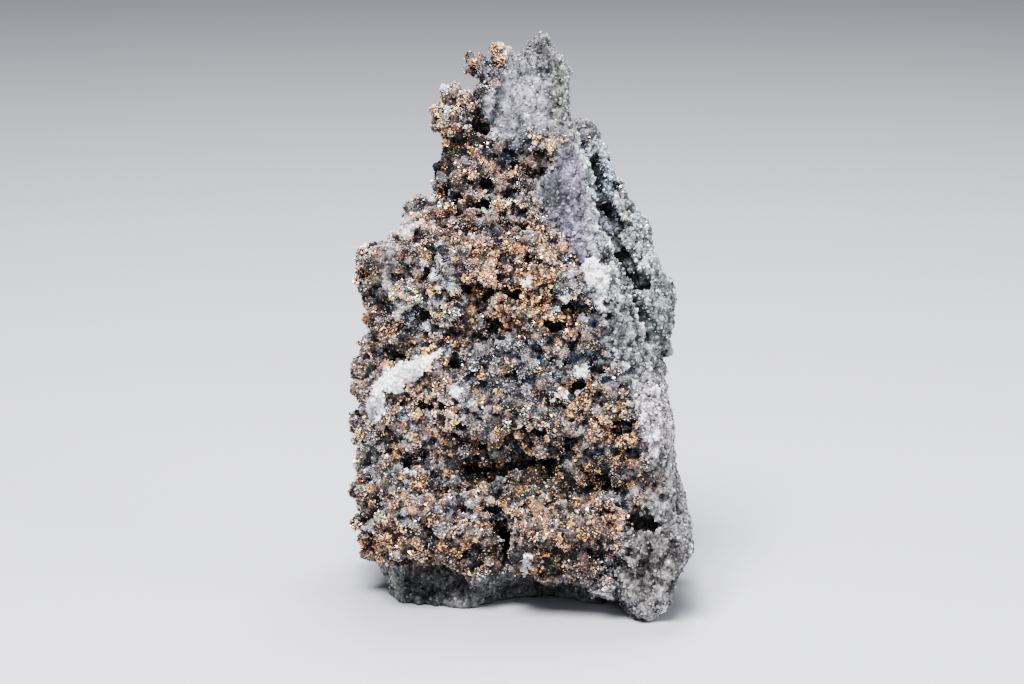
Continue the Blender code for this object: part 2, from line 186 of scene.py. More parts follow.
# Zones of the crust, painted one over the other: mix, X, H, half width, half height, strength.
CRUST_ZONES = {
    "shoulder": ("pale", -7.5, 26.0, 2.2, 1.2, 0.8),
    "upper crust": ("cream", -4.0, 24.6, 5.2, 2.4, 0.9),
    "brow": ("copper", 0.2, 23.2, 4.4, 2.6, 1.0),
    "salmon patch": ("copper", -8.1, 21.2, 1.2, 1.0, 1.0),
    "outer column": ("olive", -10.5, 21.2, 0.9, 3.6, 0.8),
    "pale rib": ("pale", -5.6, 21.8, 0.6, 2.6, 0.9),
    "rib foot": ("grey", -6.6, 19.2, 2.2, 1.4, 0.8),
    "gold under the brow": ("gold", 1.4, 20.2, 2.8, 1.6, 1.0),
    "nodules": ("cold", 3.2, 21.2, 1.0, 1.0, 1.0),
    "knob ledge": ("grey", 0.0, 16.2, 7.0, 1.6, 0.9),
    "left of the vein": ("cream", -10.2, 15.6, 1.2, 1.4, 0.8),
    "under the vein": ("cream", -7.2, 13.2, 3.2, 1.6, 0.9),
    "left flank": ("speckled", -8.6, 11.0, 3.0, 1.6, 0.8),
    "grey middle": ("grey", -2.2, 12.8, 2.6, 1.6, 0.8),
    "gold right": ("gold", 5.4, 12.2, 2.6, 2.2, 0.6),
    "blue streak": ("blue", 2.4, 10.0, 4.5, 0.5, 0.7),
    "blue under the ledge": ("blue", -0.5, 14.6, 5.0, 0.6, 0.6),
    # The olive in the recess is painted shade as well as a dark film.
    "recess": ("olive", 1.6, 8.0, 6.0, 1.5, 1.0),
    "left lip top": ("grey", -8.0, 8.8, 3.2, 1.0, 0.6),
    "left lip": ("cream", -6.4, 5.2, 4.6, 2.2, 1.0),
    "right lip": ("copper", 2.6, 4.6, 4.2, 2.0, 1.0),
    # The olive under the lip's edge is painted shade as well as a dark film.
    "edge of the lip": ("olive", 3.2, 2.6, 3.4, 0.8, 0.8),
    "blue by the hollow": ("blue", 6.8, 6.6, 1.2, 0.8, 0.8),
    # The olive in the crevice is painted shade as well as a dark film.
    "crevice": ("olive", -1.2, 3.8, 0.5, 1.4, 1.0),
    "right foot": ("pale", 8.4, 1.6, 2.4, 3.2, 1.0),
    "knob cluster": ("cream", -4.8, 33.6, 2.0, 1.8, 1.0),
    "top cluster": ("gold", -2.1, 37.5, 1.1, 0.5, 1.0),
    "top cluster, below": ("cold", -2.4, 36.2, 1.2, 0.9, 1.0),
    # The olive in this hollow is painted shade as well as a dark film.
    "hollow by the slab": ("olive", -2.8, 32.6, 0.6, 1.2, 1.0),
    "lower cluster": ("olive", -4.6, 30.6, 1.4, 1.2, 0.7),
    "blue under it": ("blue", -5.0, 28.6, 1.0, 1.2, 0.7),
    "pink beside the slab": ("cream", -2.9, 29.2, 1.6, 1.0, 1.0),
    "grey under the slab": ("grey", -0.7, 30.8, 1.6, 1.2, 1.0),
    "brown under the slab": ("olive", 1.3, 30.2, 1.5, 0.9, 0.8),
    "cream on the slab": ("cream", 1.8, 32.0, 1.6, 0.8, 0.9),
    "ridge": ("cold", 7.6, 24.0, 3.4, 9.5, 1.0),
    "seam": ("blue", 5.8, 27.4, 1.2, 3.2, 0.6),
}
# The mix where no zone lies.
CRUST_START = "speckled"
# Where the film is thick and dark or thin and bright, together with painted shade under the brow, in the
# recess and along the lips' lower edge, and painted light on the lips, the brow and the left flank: X, H,
# half width, half height, brightness.
FILM_AND_SHADE_ZONES = {
    "band under the brow": (-0.5, 18.6, 5.0, 0.7, 0.85),
    "gold in the pits": (2.0, 19.6, 2.6, 0.9, 1.2),
    "left flank": (-8.6, 10.8, 3.4, 2.2, 1.45),
    "right middle": (5.4, 12.0, 2.8, 2.4, 1.15),
    "neck": (-1.0, 28.0, 2.6, 2.2, 1.25),
    "pale rib": (-5.6, 21.8, 0.9, 2.6, 1.3),
    "left middle": (-6.8, 19.4, 2.6, 1.4, 1.35),
    "under the vein": (-7.2, 13.2, 3.4, 1.8, 1.2),
    "middle": (-2.0, 12.6, 4.0, 1.8, 1.15),
    "recess": (-0.9, 8.5, 4.0, 0.9, 0.55),
    "recess, right end": (5.2, 8.2, 3.0, 1.0, 0.8),
    "lower cluster": (-4.6, 30.4, 1.4, 1.2, 0.7),
    "flank of the neck": (-5.0, 28.4, 1.0, 1.2, 0.6),
    "outer column": (-10.5, 21.2, 0.9, 3.0, 0.8),
    "middle, dark streak": (1.5, 10.6, 4.5, 0.5, 0.7),
    "lips": (-1.5, 5.2, 8.2, 1.6, 1.05),
    "brow": (0.4, 23.9, 4.0, 1.3, 1.05),
    "salmon patch": (-8.1, 21.2, 1.4, 1.1, 2.2),
    "knob ledge": (-0.5, 16.6, 6.5, 1.0, 1.1),
    "gold ledge": (3.4, 20.2, 1.6, 0.7, 1.3),
    "knobs under the slab": (-0.8, 30.6, 2.0, 1.1, 0.95),
    "right under the slab": (2.0, 30.6, 1.2, 0.9, 1.3),
    "knob cluster": (-4.9, 33.8, 1.9, 1.6, 1.25),
    "edge of the lips": (0.0, 2.6, 7.0, 0.6, 0.6),
}

# Right edge of the crust in the front view: H, X.
CRUST_EDGE = (
    (-2.0, 6.2), (3.0, 6.8), (5.0, 7.8), (6.5, 8.7), (9.0, 8.9), (11.0, 8.4), (13.9, 8.0), (15.5, 7.0),
    (18.3, 6.0), (19.7, 5.4), (21.5, 4.3), (23.6, 3.7), (25.0, 2.8), (26.0, 1.5), (27.3, 1.0),
    (28.8, 1.0), (30.1, 2.3), (31.5, 3.0), (32.5, 3.0),
)
# The slab's right edge beside the ridge: H, X.
EDGE_LINE = (
    (16.9, 8.9), (19.0, 8.2), (20.0, 7.7), (21.7, 6.7), (23.9, 6.0), (25.7, 5.4), (26.7, 5.0),
    (29.5, 4.6), (31.0, 3.9), (32.3, 3.5),
)
# The seam between slab and ridge, with its caves: H, X.
SEAM = ((17.0, 9.6), (18.3, 9.0), (20.4, 8.2), (22.5, 7.6), (26.0, 6.3), (28.8, 5.6), (31.6, 4.9))
# Heights between which the edge and the seam fade in and out, and the painted shadow in the seam fades in.
EDGE_FOOT = (16.0, 18.0)
EDGE_TOP = (32.6, 31.8)
SEAM_FOOT = (16.5, 18.5)
SEAM_TOP = (32.0, 31.0)
SEAM_SHADOW_FROM = (21.0, 26.0)
# Heights over the base between which the crust, the knobs and the small grains set in.
LIP_FOOT = (2.4, 3.2)
GROWTH_FOOT = (1.2, 2.0)
GRAIN_FOOT = (0.3, 0.8)

# Bare rock that shows through the crust in the front view: X, H, half width, half height.
BARE_PATCHES = {
    "shoulder": (-7.9, 25.6, 1.2, 0.9),
    "band": (-9.2, 22.9, 0.55, 2.0),
}
# The same for a shoulder with hardly a knob, the knobs on the right foot, and silver on the ridge.
SMOOTH_SHOULDER = (-8.0, 26.7, 2.6, 1.6)
KNOBS_ON_FOOT = (8.5, 4.0, 2.5, 2.6)
SILVERED_RIDGE = (6.6, 26.0, 2.2, 6.0)
# Dark holes between the knobs in the front view: X, H, half width, half height.
HOLES = {
    "over the vein": (-8.3, 16.3, 0.55, 0.35),
    "beside the vein": (-4.6, 16.1, 0.5, 0.5),
    "left edge": (-11.0, 12.8, 0.4, 0.8),
    "beside the top cluster": (-3.4, 35.7, 0.55, 0.8),
    "between cluster and slab, low": (-2.9, 32.8, 0.65, 0.8),
    "between cluster and slab, high": (-2.8, 33.8, 0.45, 1.0),
    "below the cluster": (-2.3, 28.5, 0.45, 0.4),
    "under the slab, left": (-0.6, 30.0, 0.4, 0.55),
    "under the slab, right": (1.4, 30.4, 0.7, 0.6),
    "left flank of the neck": (-5.0, 28.0, 0.45, 0.4),
    "neck, left": (-2.5, 27.0, 0.45, 0.45),
    "neck, middle": (-0.1, 27.0, 0.4, 0.6),
    "over the brow": (0.5, 25.6, 0.55, 0.4),
    "shoulder": (-7.0, 24.8, 0.45, 0.35),
    "brow": (1.2, 23.2, 0.4, 0.35),
    "under the rib": (-3.7, 21.3, 0.4, 0.55),
    "rib, left": (-6.8, 19.6, 0.35, 0.5),
    "rib, right": (-4.7, 20.5, 0.45, 0.35),
    "brow, low": (-0.6, 20.7, 0.7, 0.4),
    "under the brow, left": (-1.6, 18.6, 0.9, 0.35),
    "under the brow, right": (2.1, 18.6, 0.9, 0.4),
    "left, under the brow": (-8.4, 18.7, 0.55, 0.35),
    "ledge, left": (-4.8, 19.2, 0.45, 0.3),
    "ledge, right": (4.3, 14.2, 0.5, 0.5),
    "middle, left": (-6.0, 12.9, 0.8, 0.3),
    "middle": (-4.2, 11.6, 0.4, 0.35),
    "middle, right": (1.0, 11.3, 0.6, 0.4),
    "right": (3.6, 10.7, 0.3, 0.45),
    "right edge, high": (7.6, 12.5, 0.3, 0.5),
    "right edge, low": (7.1, 11.4, 0.4, 0.45),
    "left flank": (-6.9, 9.3, 0.4, 0.3),
    "recess, left": (-3.5, 8.3, 0.75, 0.4),
    "recess, middle": (-1.2, 7.4, 0.4, 0.4),
    "left lip": (-5.4, 7.0, 0.3, 0.3),
    "crevice, top": (-1.9, 6.0, 0.5, 0.5),
    "crevice": (-1.3, 4.6, 0.5, 1.6),
    "crevice, foot": (-1.0, 3.6, 0.95, 0.9),
    "hollow beside the right lip": (8.4, 5.2, 0.85, 0.75),
    "right foot": (7.0, 1.8, 0.65, 0.5),
    "ridge, upper cave": (7.0, 23.3, 1.3, 0.3),
    "ridge, lower cave": (8.3, 21.0, 0.9, 0.45),
}

# Where the solid is drawn aside before knobs grow: X, H, half width, half height, how far right and up.
DRAWN = {
    "notch under the top cluster": (-3.3, 35.5, 0.8, 0.9, 0.8, -0.7),
    "cluster's top lobe": (-4.4, 35.7, 0.9, 0.8, 0.0, -0.5),
    "top cluster": (-2.0, 38.1, 1.2, 0.9, -0.3, -0.7),
    "peak, left slope": (-0.4, 38.6, 1.3, 0.9, 0.6, -0.2),
    "peak, right slope": (2.9, 38.7, 0.8, 0.9, -0.5, -0.1),
    "corner over the outer column": (-10.7, 25.3, 1.6, 1.1, 1.2, -0.5),
    "shoulder's corner": (-9.2, 26.5, 1.0, 0.8, 0.6, -0.3),
    "neck's left flank": (-6.8, 28.0, 1.0, 1.1, 0.9, -0.3),
    "left edge": (-12.2, 13.0, 2.4, 11.0, 0.55, 0.0),
}
# Where hollows of the solid are filled up: X, H, half width, half height, how far out.
FILLED = {
    "recess, right end": (4.8, 7.9, 2.8, 0.9, 0.9),
    "under the brow": (0.5, 19.3, 5.0, 0.9, 0.5),
    "left, under the brow": (-7.6, 19.2, 2.4, 1.0, 0.4),
    "salmon patch": (-8.1, 21.0, 1.1, 1.0, 0.6),
    "under the slab's right": (1.9, 30.5, 1.0, 0.7, 0.4),
}
# Big lumps on the neck and in the clusters: X, H, radius. The skin swallows a share of that radius.
LUMPS = (
    (-1.2, 31.1, 0.95), (0.1, 30.1, 0.95), (1.5, 30.5, 0.85), (0.8, 31.6, 0.7), (-3.4, 29.6, 0.95),
    (-1.9, 29.9, 0.75), (-0.8, 28.5, 1.0), (-2.9, 27.9, 0.8), (-1.9, 27.1, 0.7), (-0.3, 26.4, 0.85),
    (0.8, 26.0, 0.6), (-4.9, 30.8, 0.7), (-4.0, 31.0, 0.6), (-5.2, 28.7, 0.75), (-4.3, 28.5, 0.7),
    (-4.5, 34.7, 0.65), (-5.3, 33.3, 0.75), (-4.2, 33.5, 0.8), (-3.4, 33.9, 0.6), (-5.2, 32.6, 0.55),
    (-4.2, 32.4, 0.8),
)
LUMP_SUNK = 0.45

# Left edge of the bare slab in the front view: H, X.
SLAB_EDGE = (
    (30.0, -1.6), (31.5, -2.2), (33.0, -2.7), (34.6, -2.6), (35.3, -1.9), (36.2, -1.2), (38.0, -1.2),
)
# The height at which the crust ends under the slab.
SLAB_FOOT = 31.8

# Zones of bare rock in the front view, painted one over the other: colour, grit, X, H, half width, half
# height, strength.
ROCK_START = ("#8E8D8F", 0.6)
ROCK_ZONES = {
    "slab": ("#97959E", 0.35, 0.2, 34.6, 2.6, 3.0, 1.0),
    "slab's left rim": ("#B0AFB4", 0.15, -1.9, 34.8, 0.5, 1.9, 0.8),
    "slab tip": ("#79787A", 0.8, 1.6, 37.9, 1.2, 1.4, 0.9),
    "slab right edge": ("#8A8A89", 0.7, 2.7, 35.0, 0.6, 2.8, 0.8),
    "purple rock": ("#726C7C", 0.5, 3.6, 26.6, 2.4, 5.0, 0.9),
    "dark patch in it": ("#58585C", 0.4, 2.2, 28.3, 0.8, 1.2, 0.8),
    "ridge": ("#919395", 1.0, 8.0, 24.0, 3.0, 8.0, 0.8),
    "ridge top": ("#B6BEC8", 1.0, 5.6, 29.8, 1.3, 2.4, 0.8),
    "outer ridge": ("#8F9494", 0.5, 9.4, 21.6, 1.5, 4.6, 0.9),
    # Painted shadow as well: the rock along the seam is darker and bluish.
    "seam": ("#7A8290", 1.0, 5.9, 27.6, 1.0, 3.6, 0.5),
    "shoulder": ("#BAB2AE", 0.3, -7.9, 25.7, 1.5, 0.9, 1.0),
    "band left of the crust": ("#A89F9D", 0.3, -9.1, 22.8, 0.7, 2.2, 1.0),
    "lilac rock": ("#B9B1B6", 0.8, 9.1, 11.7, 1.4, 2.6, 1.0),
    "lower right": ("#7E7773", 0.9, 8.8, 7.6, 1.4, 1.4, 0.9),
    "foot": ("#7C7977", 0.8, 9.2, 2.0, 2.8, 2.8, 0.9),
    # Painted shade: the undercut beneath the lip is drawn in darker grey.
    "undercut": ("#6C6C6C", 0.5, -3.0, 0.2, 8.0, 2.2, 1.0),
    "wall left of the undercut": ("#8E8E8C", 0.4, -8.9, 0.8, 0.7, 1.6, 0.9),
}
# A painted highlight along the slab's right edge, and painted shadow in the seam beside it.
EDGE_HIGHLIGHT = "#B4B6B6"
SEAM_SHADOW = "#1C2230"
# Calcite as a mass and as single crystals.
MASS_WHITE = "#FAF8F8"
CRYSTAL_WHITE = "#FBF9FA"
# White calcite in the front view: X, H, half length, half width, tilt in degrees.
CALCITE = {
    "vein, low end": (-8.9, 14.8, 1.0, 0.85, 25),
    "vein, lower part": (-7.9, 15.4, 1.1, 0.80, 35),
    "vein, upper part": (-6.9, 16.0, 1.0, 0.58, 38),
    "vein, tip": (-5.9, 16.6, 0.9, 0.28, 35),
    "patch under the vein": (-10.1, 13.2, 1.5, 0.60, 86),
    "patch by the slab": (5.3, 22.3, 1.25, 0.90, -60),
    "crystal right of the vein": (-4.6, 14.2, 0.6, 0.45, 10),
    "crystal on the ledge": (4.3, 15.5, 0.6, 0.38, 30),
    "crystal under it": (2.8, 13.8, 0.5, 0.22, 15),
    "small one in the middle": (0.0, 11.7, 0.22, 0.2, 0),
    "one on the left flank": (-7.9, 8.4, 0.5, 0.2, 5),
    "top of the outer column": (-10.8, 24.0, 0.3, 0.3, 0),
    "on the brow": (0.4, 21.7, 0.35, 0.25, 20),
    "by the rib": (-4.6, 21.3, 0.5, 0.3, -30),
    "fibres under the lip": (0.5, 2.1, 0.75, 0.4, 75),
    "under the right lip": (5.7, -0.1, 0.9, 0.25, -10),
}
# Single white crystals of calcite among the silver: X, H, radius.
WHITE_CRYSTALS = (
    (-4.6, 14.3, 0.42), (-4.1, 14.0, 0.26), (4.2, 15.5, 0.36), (4.7, 15.4, 0.26), (2.8, 13.8, 0.2),
    (0.0, 11.7, 0.2), (-7.9, 8.4, 0.24), (-10.8, 24.0, 0.3), (0.5, 21.7, 0.24), (-4.6, 21.2, 0.3),
    (-2.5, 12.9, 0.16), (6.6, 14.9, 0.16),
)

# For each knob its middle, the numbers of its finish and shade, and whether it is dull.
Knobs = namedtuple("Knobs", "middles finish shade dull")
# The finished skin, and at each corner: its place in the front view before the relief, the shares of crust
# and calcite, the colour of bare stone, its grit, how open the place is, and whether it is raised.
Ground = namedtuple("Ground", "skin seen crust calcite stone grit opened raised")


def linear(code):
    """An sRGB hex colour as linear red, green and blue."""
    shares = [int(code[i : i + 2], 16) / 255 for i in (1, 3, 5)]
    return np.array([s / 12.92 if s <= 0.04045 else ((s + 0.055) / 1.055) ** 2.4 for s in shares])


def smooth(low, high, values):
    """0 below low, 1 above high, with a soft rise between. It falls where high is under low."""
    t = np.clip((values - low) / (high - low), 0.0, 1.0)
    return t * t * (3.0 - 2.0 * t)


def line_through(rows, heights):
    """A value read off straight lines between rows of height and value."""
    steps, values = zip(*rows)
    return np.interp(heights, steps, values)


def ripples(points, cell, shift=0.0):
    """Soft noise from -1 to 1 with features of this size. Each use has its own shift, so no two line up."""
    move = Vector((shift, 0.0, 0.0))
    return np.array([noise.noise(Vector(p) / cell + move) for p in points])


def nearest_cell(points, cell, shift=0.0):
    """How far each point is from the middle of the nearest of many scattered cells, in cell sizes."""
    move = Vector((0.0, shift, 0.0))
    return np.array([noise.voronoi(Vector(p) / cell + move)[0][0] for p in points])


def cell_numbers(points, cell, shift=0.0):
    """One number from 0 to 1 for each of many scattered cells, given to every point in the cell."""
    move = Vector((0.0, shift, 0.0))
    middles = (noise.voronoi(Vector(p) / cell + move)[1][0] for p in points)
    return np.array([noise.cell(37.0 * m) for m in middles])


def pits(points, cell, radius, shift=0.0):
    """Scattered round pits: 1 at the bottom, 0 outside."""
    return smooth(radius, 0.4 * radius, nearest_cell(points, cell, shift) * cell)


def crests(points, cell, shift=0.0):
    """Sharp-edged noise from -1 to 1, with crests where broken faces meet."""
    return 1.0 - 4.0 * np.abs(ripples(points, cell, shift))


def front_view(points):
    """Where each point shows in the front view, as X and H."""
    rise = math.radians(CAMERA_RISE_DEG)
    towards = np.array((0.0, -math.cos(rise), math.sin(rise)))
    up = np.array((0.0, math.sin(rise), math.cos(rise)))
    target = np.array(CAMERA_TARGET)
    away = points - target
    size = CAMERA_DISTANCE / (CAMERA_DISTANCE - away @ towards)
    return np.stack([target[0] + away[:, 0] * size, target[2] + (away @ up) * size], axis=1)


def oval(seen, x, h, half_width, half_height, edge=0.35, tilt_deg=0.0):
    """1 inside an oval of the front view, 0 outside, soft over a share of its size."""
    turn = math.radians(tilt_deg)
    across, up = seen[:, 0] - x, seen[:, 1] - h
    along = across * math.cos(turn) + up * math.sin(turn)
    aside = up * math.cos(turn) - across * math.sin(turn)
    return smooth(1.0 + edge, 1.0 - edge, np.hypot(along / half_width, aside / half_height))


def wandering(points, far, cell, shifts):
    """A soft move to the side and up for each point, this far at most, so that zones get wandering edges."""
    return far * np.stack([ripples(points, cell, shift) for shift in shifts], axis=1)


def read_vectors(items, name):
    """A property of three numbers, read from all the items of a mesh."""
    values = np.zeros(len(items) * 3)
    items.foreach_get(name, values)
    return values.reshape(-1, 3)


class Skin:
    """A surface as arrays: points and normals at its corners, and four-cornered faces."""

    def __init__(self, mesh, voxel):
        """Wraps a mesh in one even skin with softened facets."""
        thing = bpy.data.objects.new("skin", mesh)
        bpy.context.scene.collection.objects.link(thing)
        even = thing.modifiers.new("even skin", "REMESH")
        even.mode = "VOXEL"
        even.voxel_size = voxel * MM
        soften = thing.modifiers.new("soft facets", "SMOOTH")
        soften.factor = 0.5
        soften.iterations = 1
        graph = bpy.context.evaluated_depsgraph_get()
        made = bpy.data.meshes.new_from_object(thing.evaluated_get(graph))
        bpy.data.objects.remove(thing)
        self.points = read_vectors(made.vertices, "co") / MM
        self.normals = read_vectors(made.vertices, "normal")
        corners = np.zeros(len(made.loops), dtype=int)
        made.loops.foreach_get("vertex_index", corners)
        self.faces = corners.reshape(-1, 4)
        bpy.data.meshes.remove(made)

    def sides(self):
        """The points of all first corners, all second ones, and so on."""
        return (self.points[self.faces[:, i]] for i in range(4))

    def move(self, heights):
        """Moves each corner out along its normal, and works out the normals again."""
        self.points = self.points + self.normals * heights[:, None]
        a, b, c, d = self.sides()
        across = np.cross(c - a, d - b)
        total = np.zeros_like(self.points)
        for i in range(4):
            np.add.at(total, self.faces[:, i], across)
        self.normals = total / np.linalg.norm(total, axis=1, keepdims=True)

    def bulge(self, rings):
        """How far each corner stands out from the average of its surroundings, this many faces wide."""
        around = self.points
        count = np.bincount(self.faces.ravel(), minlength=len(around))[:, None]
        for _ in range(rings):
            middles = np.repeat(around[self.faces].mean(axis=1), 4, axis=0)
            sums = [np.bincount(self.faces.ravel(), middles[:, i], len(around)) for i in range(3)]
            around = np.stack(sums, axis=1) / count
        return ((self.points - around) * self.normals).sum(axis=1)

    def areas(self):
        """The area of each face."""
        a, b, c, d = self.sides()
        return np.linalg.norm(np.cross(c - a, d - b), axis=1) / 2

    def front(self, begins, full):
        """1 where the skin faces the front, 0 at the back. Its normal's Y is the measure, from -1 to 1."""
        return smooth(begins, full, self.normals[:, 1])

    def openness(self):
        """The share of directions in which nothing is near each corner: 1 on a knob, 0 deep in a crack."""
        tree = BVHTree.FromPolygons(self.points.tolist(), self.faces.tolist())
        helper = np.where(np.abs(self.normals[:, 2:]) < 0.7, (0.0, 0.0, 1.0), (1.0, 0.0, 0.0))
        first = np.cross(self.normals, helper)
        first /= np.linalg.norm(first, axis=1, keepdims=True)
        second = np.cross(self.normals, first)
        starts = [Vector(p) for p in self.points + OPEN_START * self.normals]
        free = np.zeros(len(starts))
        for turn in np.arange(OPEN_RAYS) * 2.0 * math.pi / OPEN_RAYS:
            ways = self.normals + OPEN_LEAN * (math.cos(turn) * first + math.sin(turn) * second)
            free += [tree.ray_cast(s, Vector(w), OPEN_REACH)[0] is None for s, w in zip(starts, ways)]
        return free / OPEN_RAYS


def crust_share(skin, seen):
    """1 on the silver crust, 0 on bare rock."""
    x, h = seen[:, 0], seen[:, 1]
    wander = 0.5 * ripples(skin.points, 1.6, 9.0)
    front = smooth(-0.1, 0.25, -skin.normals[:, 1] + 0.5 * wander)
    roam = seen + wander[:, None] * (0.5, 0.8)
    for place in BARE_PATCHES.values():
        front = front * (1.0 - oval(roam, *place, 0.2))
    left_of_edge = smooth(-0.3, 0.3, line_through(CRUST_EDGE, h) - x + wander)
    above_lip = smooth(*LIP_FOOT, skin.points[:, 2] + 0.5 * wander)
    below = smooth(0.3, -0.3, h - SLAB_FOOT + 1.6 * wander)
    beside = smooth(-0.2, 0.2, line_through(SLAB_EDGE, h) - x + 0.4 * wander)
    return front * left_of_edge * above_lip * np.maximum(below, beside)


def calcite_share(skin, seen):
    """1 on white calcite."""
    roam = seen + wandering(skin.points, 0.3, 0.5, (2.0, 6.0))
    share = np.zeros(len(seen))
    for *place, tilt in CALCITE.values():
        share = np.maximum(share, oval(roam, *place, 0.15, tilt))
    return share * skin.front(0.2, -0.1)


def holes_share(skin, seen):
    """1 down in the dark holes of the front, 0 elsewhere."""
    roam = seen + wandering(skin.points, 0.8, 0.9, (52.0, 56.0))
    roam = roam + wandering(skin.points, 0.4, 0.35, (53.0, 57.0))
    share = np.zeros(len(seen))
    for place in HOLES.values():
        share = np.maximum(share, oval(roam, *place, 0.4))
    return share * skin.front(0.1, -0.3)


def seam_share(skin, seen):
    """1 along the seam between slab and ridge, 0 elsewhere."""
    x, h = seen[:, 0], seen[:, 1]
    wander = 0.5 * ripples(skin.points, 1.0, 61.0)
    near = smooth(0.75, 0.2, np.abs(x - line_through(SEAM, h) + wander))
    return near * smooth(*SEAM_FOOT, h) * smooth(*SEAM_TOP, h) * skin.front(0.3, 0.0)


def edge_step(skin, seen):
    """How far each corner is to the right of the slab's edge, and 1 along that edge, 0 beyond its ends."""
    x, h = seen[:, 0], seen[:, 1]
    off = x - line_through(EDGE_LINE, h) + 0.12 * ripples(skin.points, 0.9, 77.0)
    return off, smooth(*EDGE_FOOT, h) * smooth(*EDGE_TOP, h) * skin.front(0.4, 0.0)


def crust_mix(seen, points):
    """How much of each finish the crystals have at each place."""
    mix = np.tile(np.array(MIXES[CRUST_START]), (len(seen), 1))
    roam = seen + wandering(points, 0.6, 1.3, (21.0, 33.0))
    for name, *place, strength in CRUST_ZONES.values():
        share = strength * oval(roam, *place)[:, None]
        mix = mix * (1.0 - share) + share * np.array(MIXES[name])
    return mix / mix.sum(axis=1, keepdims=True)


def film_and_shade(seen, points):
    """How bright the film, with painted shade and painted light, leaves the silver: 1 is usual."""
    roam = seen + wandering(points, 0.5, 1.1, (24.0, 36.0))
    depth = np.ones(len(seen))
    for *place, bright in FILM_AND_SHADE_ZONES.values():
        depth = depth * bright ** oval(roam, *place, 0.4)
    return depth


def rock_tone(skin, seen):
    """Colour of bare rock at each corner of the skin, and how gritty it is."""
    code, grit = ROCK_START
    tone = np.tile(np.append(linear(code), grit), (len(seen), 1))
    roam = seen + wandering(skin.points, 0.5, 1.5, (41.0, 45.0))
    front = skin.front(0.5, 0.1)
    for code, grit, *place, strength in ROCK_ZONES.values():
        share = (strength * front * oval(roam, *place))[:, None]
        tone = tone * (1.0 - share) + share * np.append(linear(code), grit)
    return tone[:, :3], tone[:, 3]


def spread_out(places, radii, room):
    """Which of the places to keep so that no two grains crowd each other, first come first kept."""
    cell = 2.0 * radii.max() * room
    kept_by_cell = {}
    kept = []
    keys = np.floor(places / cell).astype(int).tolist()
    near = [(i, j, k) for i in (-1, 0, 1) for j in (-1, 0, 1) for k in (-1, 0, 1)]
    for n, (place, radius) in enumerate(zip(places.tolist(), radii.tolist())):
        a, b, c = keys[n]
        x, y, z = place
        around = [kept_by_cell[key] for i, j, k in near if (key := (a + i, b + j, c + k)) in kept_by_cell]
        if any(
            (x - p) ** 2 + (y - q) ** 2 + (z - r) ** 2 < (room * (radius + s)) ** 2
            for group in around
            for p, q, r, s in group
        ):
            continue
        kept_by_cell.setdefault((a, b, c), []).append((x, y, z, radius))
        kept.append(n)
    return np.array(kept)


def scatter(skin, cover, grains, generator):
    """Random places on the skin where cover says, with a radius each, and the skin corner each is near."""
    chance = skin.areas() * cover[skin.faces].mean(axis=1)
    picked = generator.choice(len(chance), grains.tries, p=chance / chance.sum())
    u, v = generator.random((2, grains.tries, 1))
    a, b, c, d = (side[picked] for side in skin.sides())
    places = (1 - u) * ((1 - v) * a + v * d) + u * ((1 - v) * b + v * c)
    widest = 2 * grains.spread
    radii = grains.radius * np.exp(generator.normal(0.0, grains.spread, grains.tries).clip(-widest, widest))
    kept = spread_out(places, radii, grains.room)
    return places[kept], radii[kept], skin.faces[picked[kept], 0]


def taken_from(mesh):
    """The corners and faces of a mesh that is being built, as arrays."""
    mesh.verts.index_update()
    corners = np.array([v.co for v in mesh.verts])
    faces = np.array([[v.index for v in f.verts] for f in mesh.faces])
    mesh.free()
    return corners, faces


def knob_shape(generator):
    """An irregular ball about one unit in radius: its corners and three-cornered faces."""
    mesh = bmesh.new()
    bmesh.ops.create_icosphere(mesh, subdivisions=2, radius=1.0)
    corners, faces = taken_from(mesh)
    return corners * (1.0 + generator.normal(0.0, KNOB_UNEVEN, (len(corners), 1))), faces


def crystal_shape(kind, generator):
    """An irregular octahedron or cube about one unit in radius."""
    mesh = bmesh.new()
    if kind == "cube":
        bmesh.ops.create_cube(mesh, size=CUBE_SIDE)
    else:
        for axis in np.eye(3):
            mesh.verts.new(axis)
            mesh.verts.new(-axis)
        bmesh.ops.convex_hull(mesh, input=mesh.verts)
    bmesh.ops.triangulate(mesh, faces=mesh.faces)
    corners, faces = taken_from(mesh)
    corners = corners * generator.uniform(*CRYSTAL_STRETCH, 3)
    return corners + generator.normal(0.0, CRYSTAL_UNEVEN, corners.shape), faces


def random_turns(count, generator):
    """This many random rotation matrices."""
    q = generator.normal(size=(count, 4))
    w, x, y, z = (q / np.linalg.norm(q, axis=1, keepdims=True)).T
    rows = (
        (1 - 2 * (y * y + z * z), 2 * (x * y - z * w), 2 * (x * z + y * w)),
        (2 * (x * y + z * w), 1 - 2 * (x * x + z * z), 2 * (y * z - x * w)),
        (2 * (x * z - y * w), 2 * (y * z + x * w), 1 - 2 * (x * x + y * y)),
    )
    return np.array(rows).transpose(2, 0, 1)


def joined(shapes, places, radii, generator):
    """Copies of the shapes, one at each place with its own turn and radius, as corners and faces, and the
    number of the copy that each corner belongs to."""
    kind = generator.integers(0, len(shapes), len(places))
    points, faces, owners, start = [], [], [], 0
    for n, (corners, sides) in enumerate(shapes):
        own = np.where(kind == n)[0]
        turned = np.einsum("nij,vj->nvi", random_turns(len(own), generator), corners)
        placed = turned * radii[own, None, None] + places[own, None, :]
        points.append(placed.reshape(-1, 3))
        offsets = start + len(corners) * np.arange(len(own))
        faces.append((sides[None] + offsets[:, None, None]).reshape(-1, 3))
        owners.append(np.repeat(own, len(corners)))
        start += len(corners) * len(own)
    return np.concatenate(points), np.concatenate(faces), np.concatenate(owners)


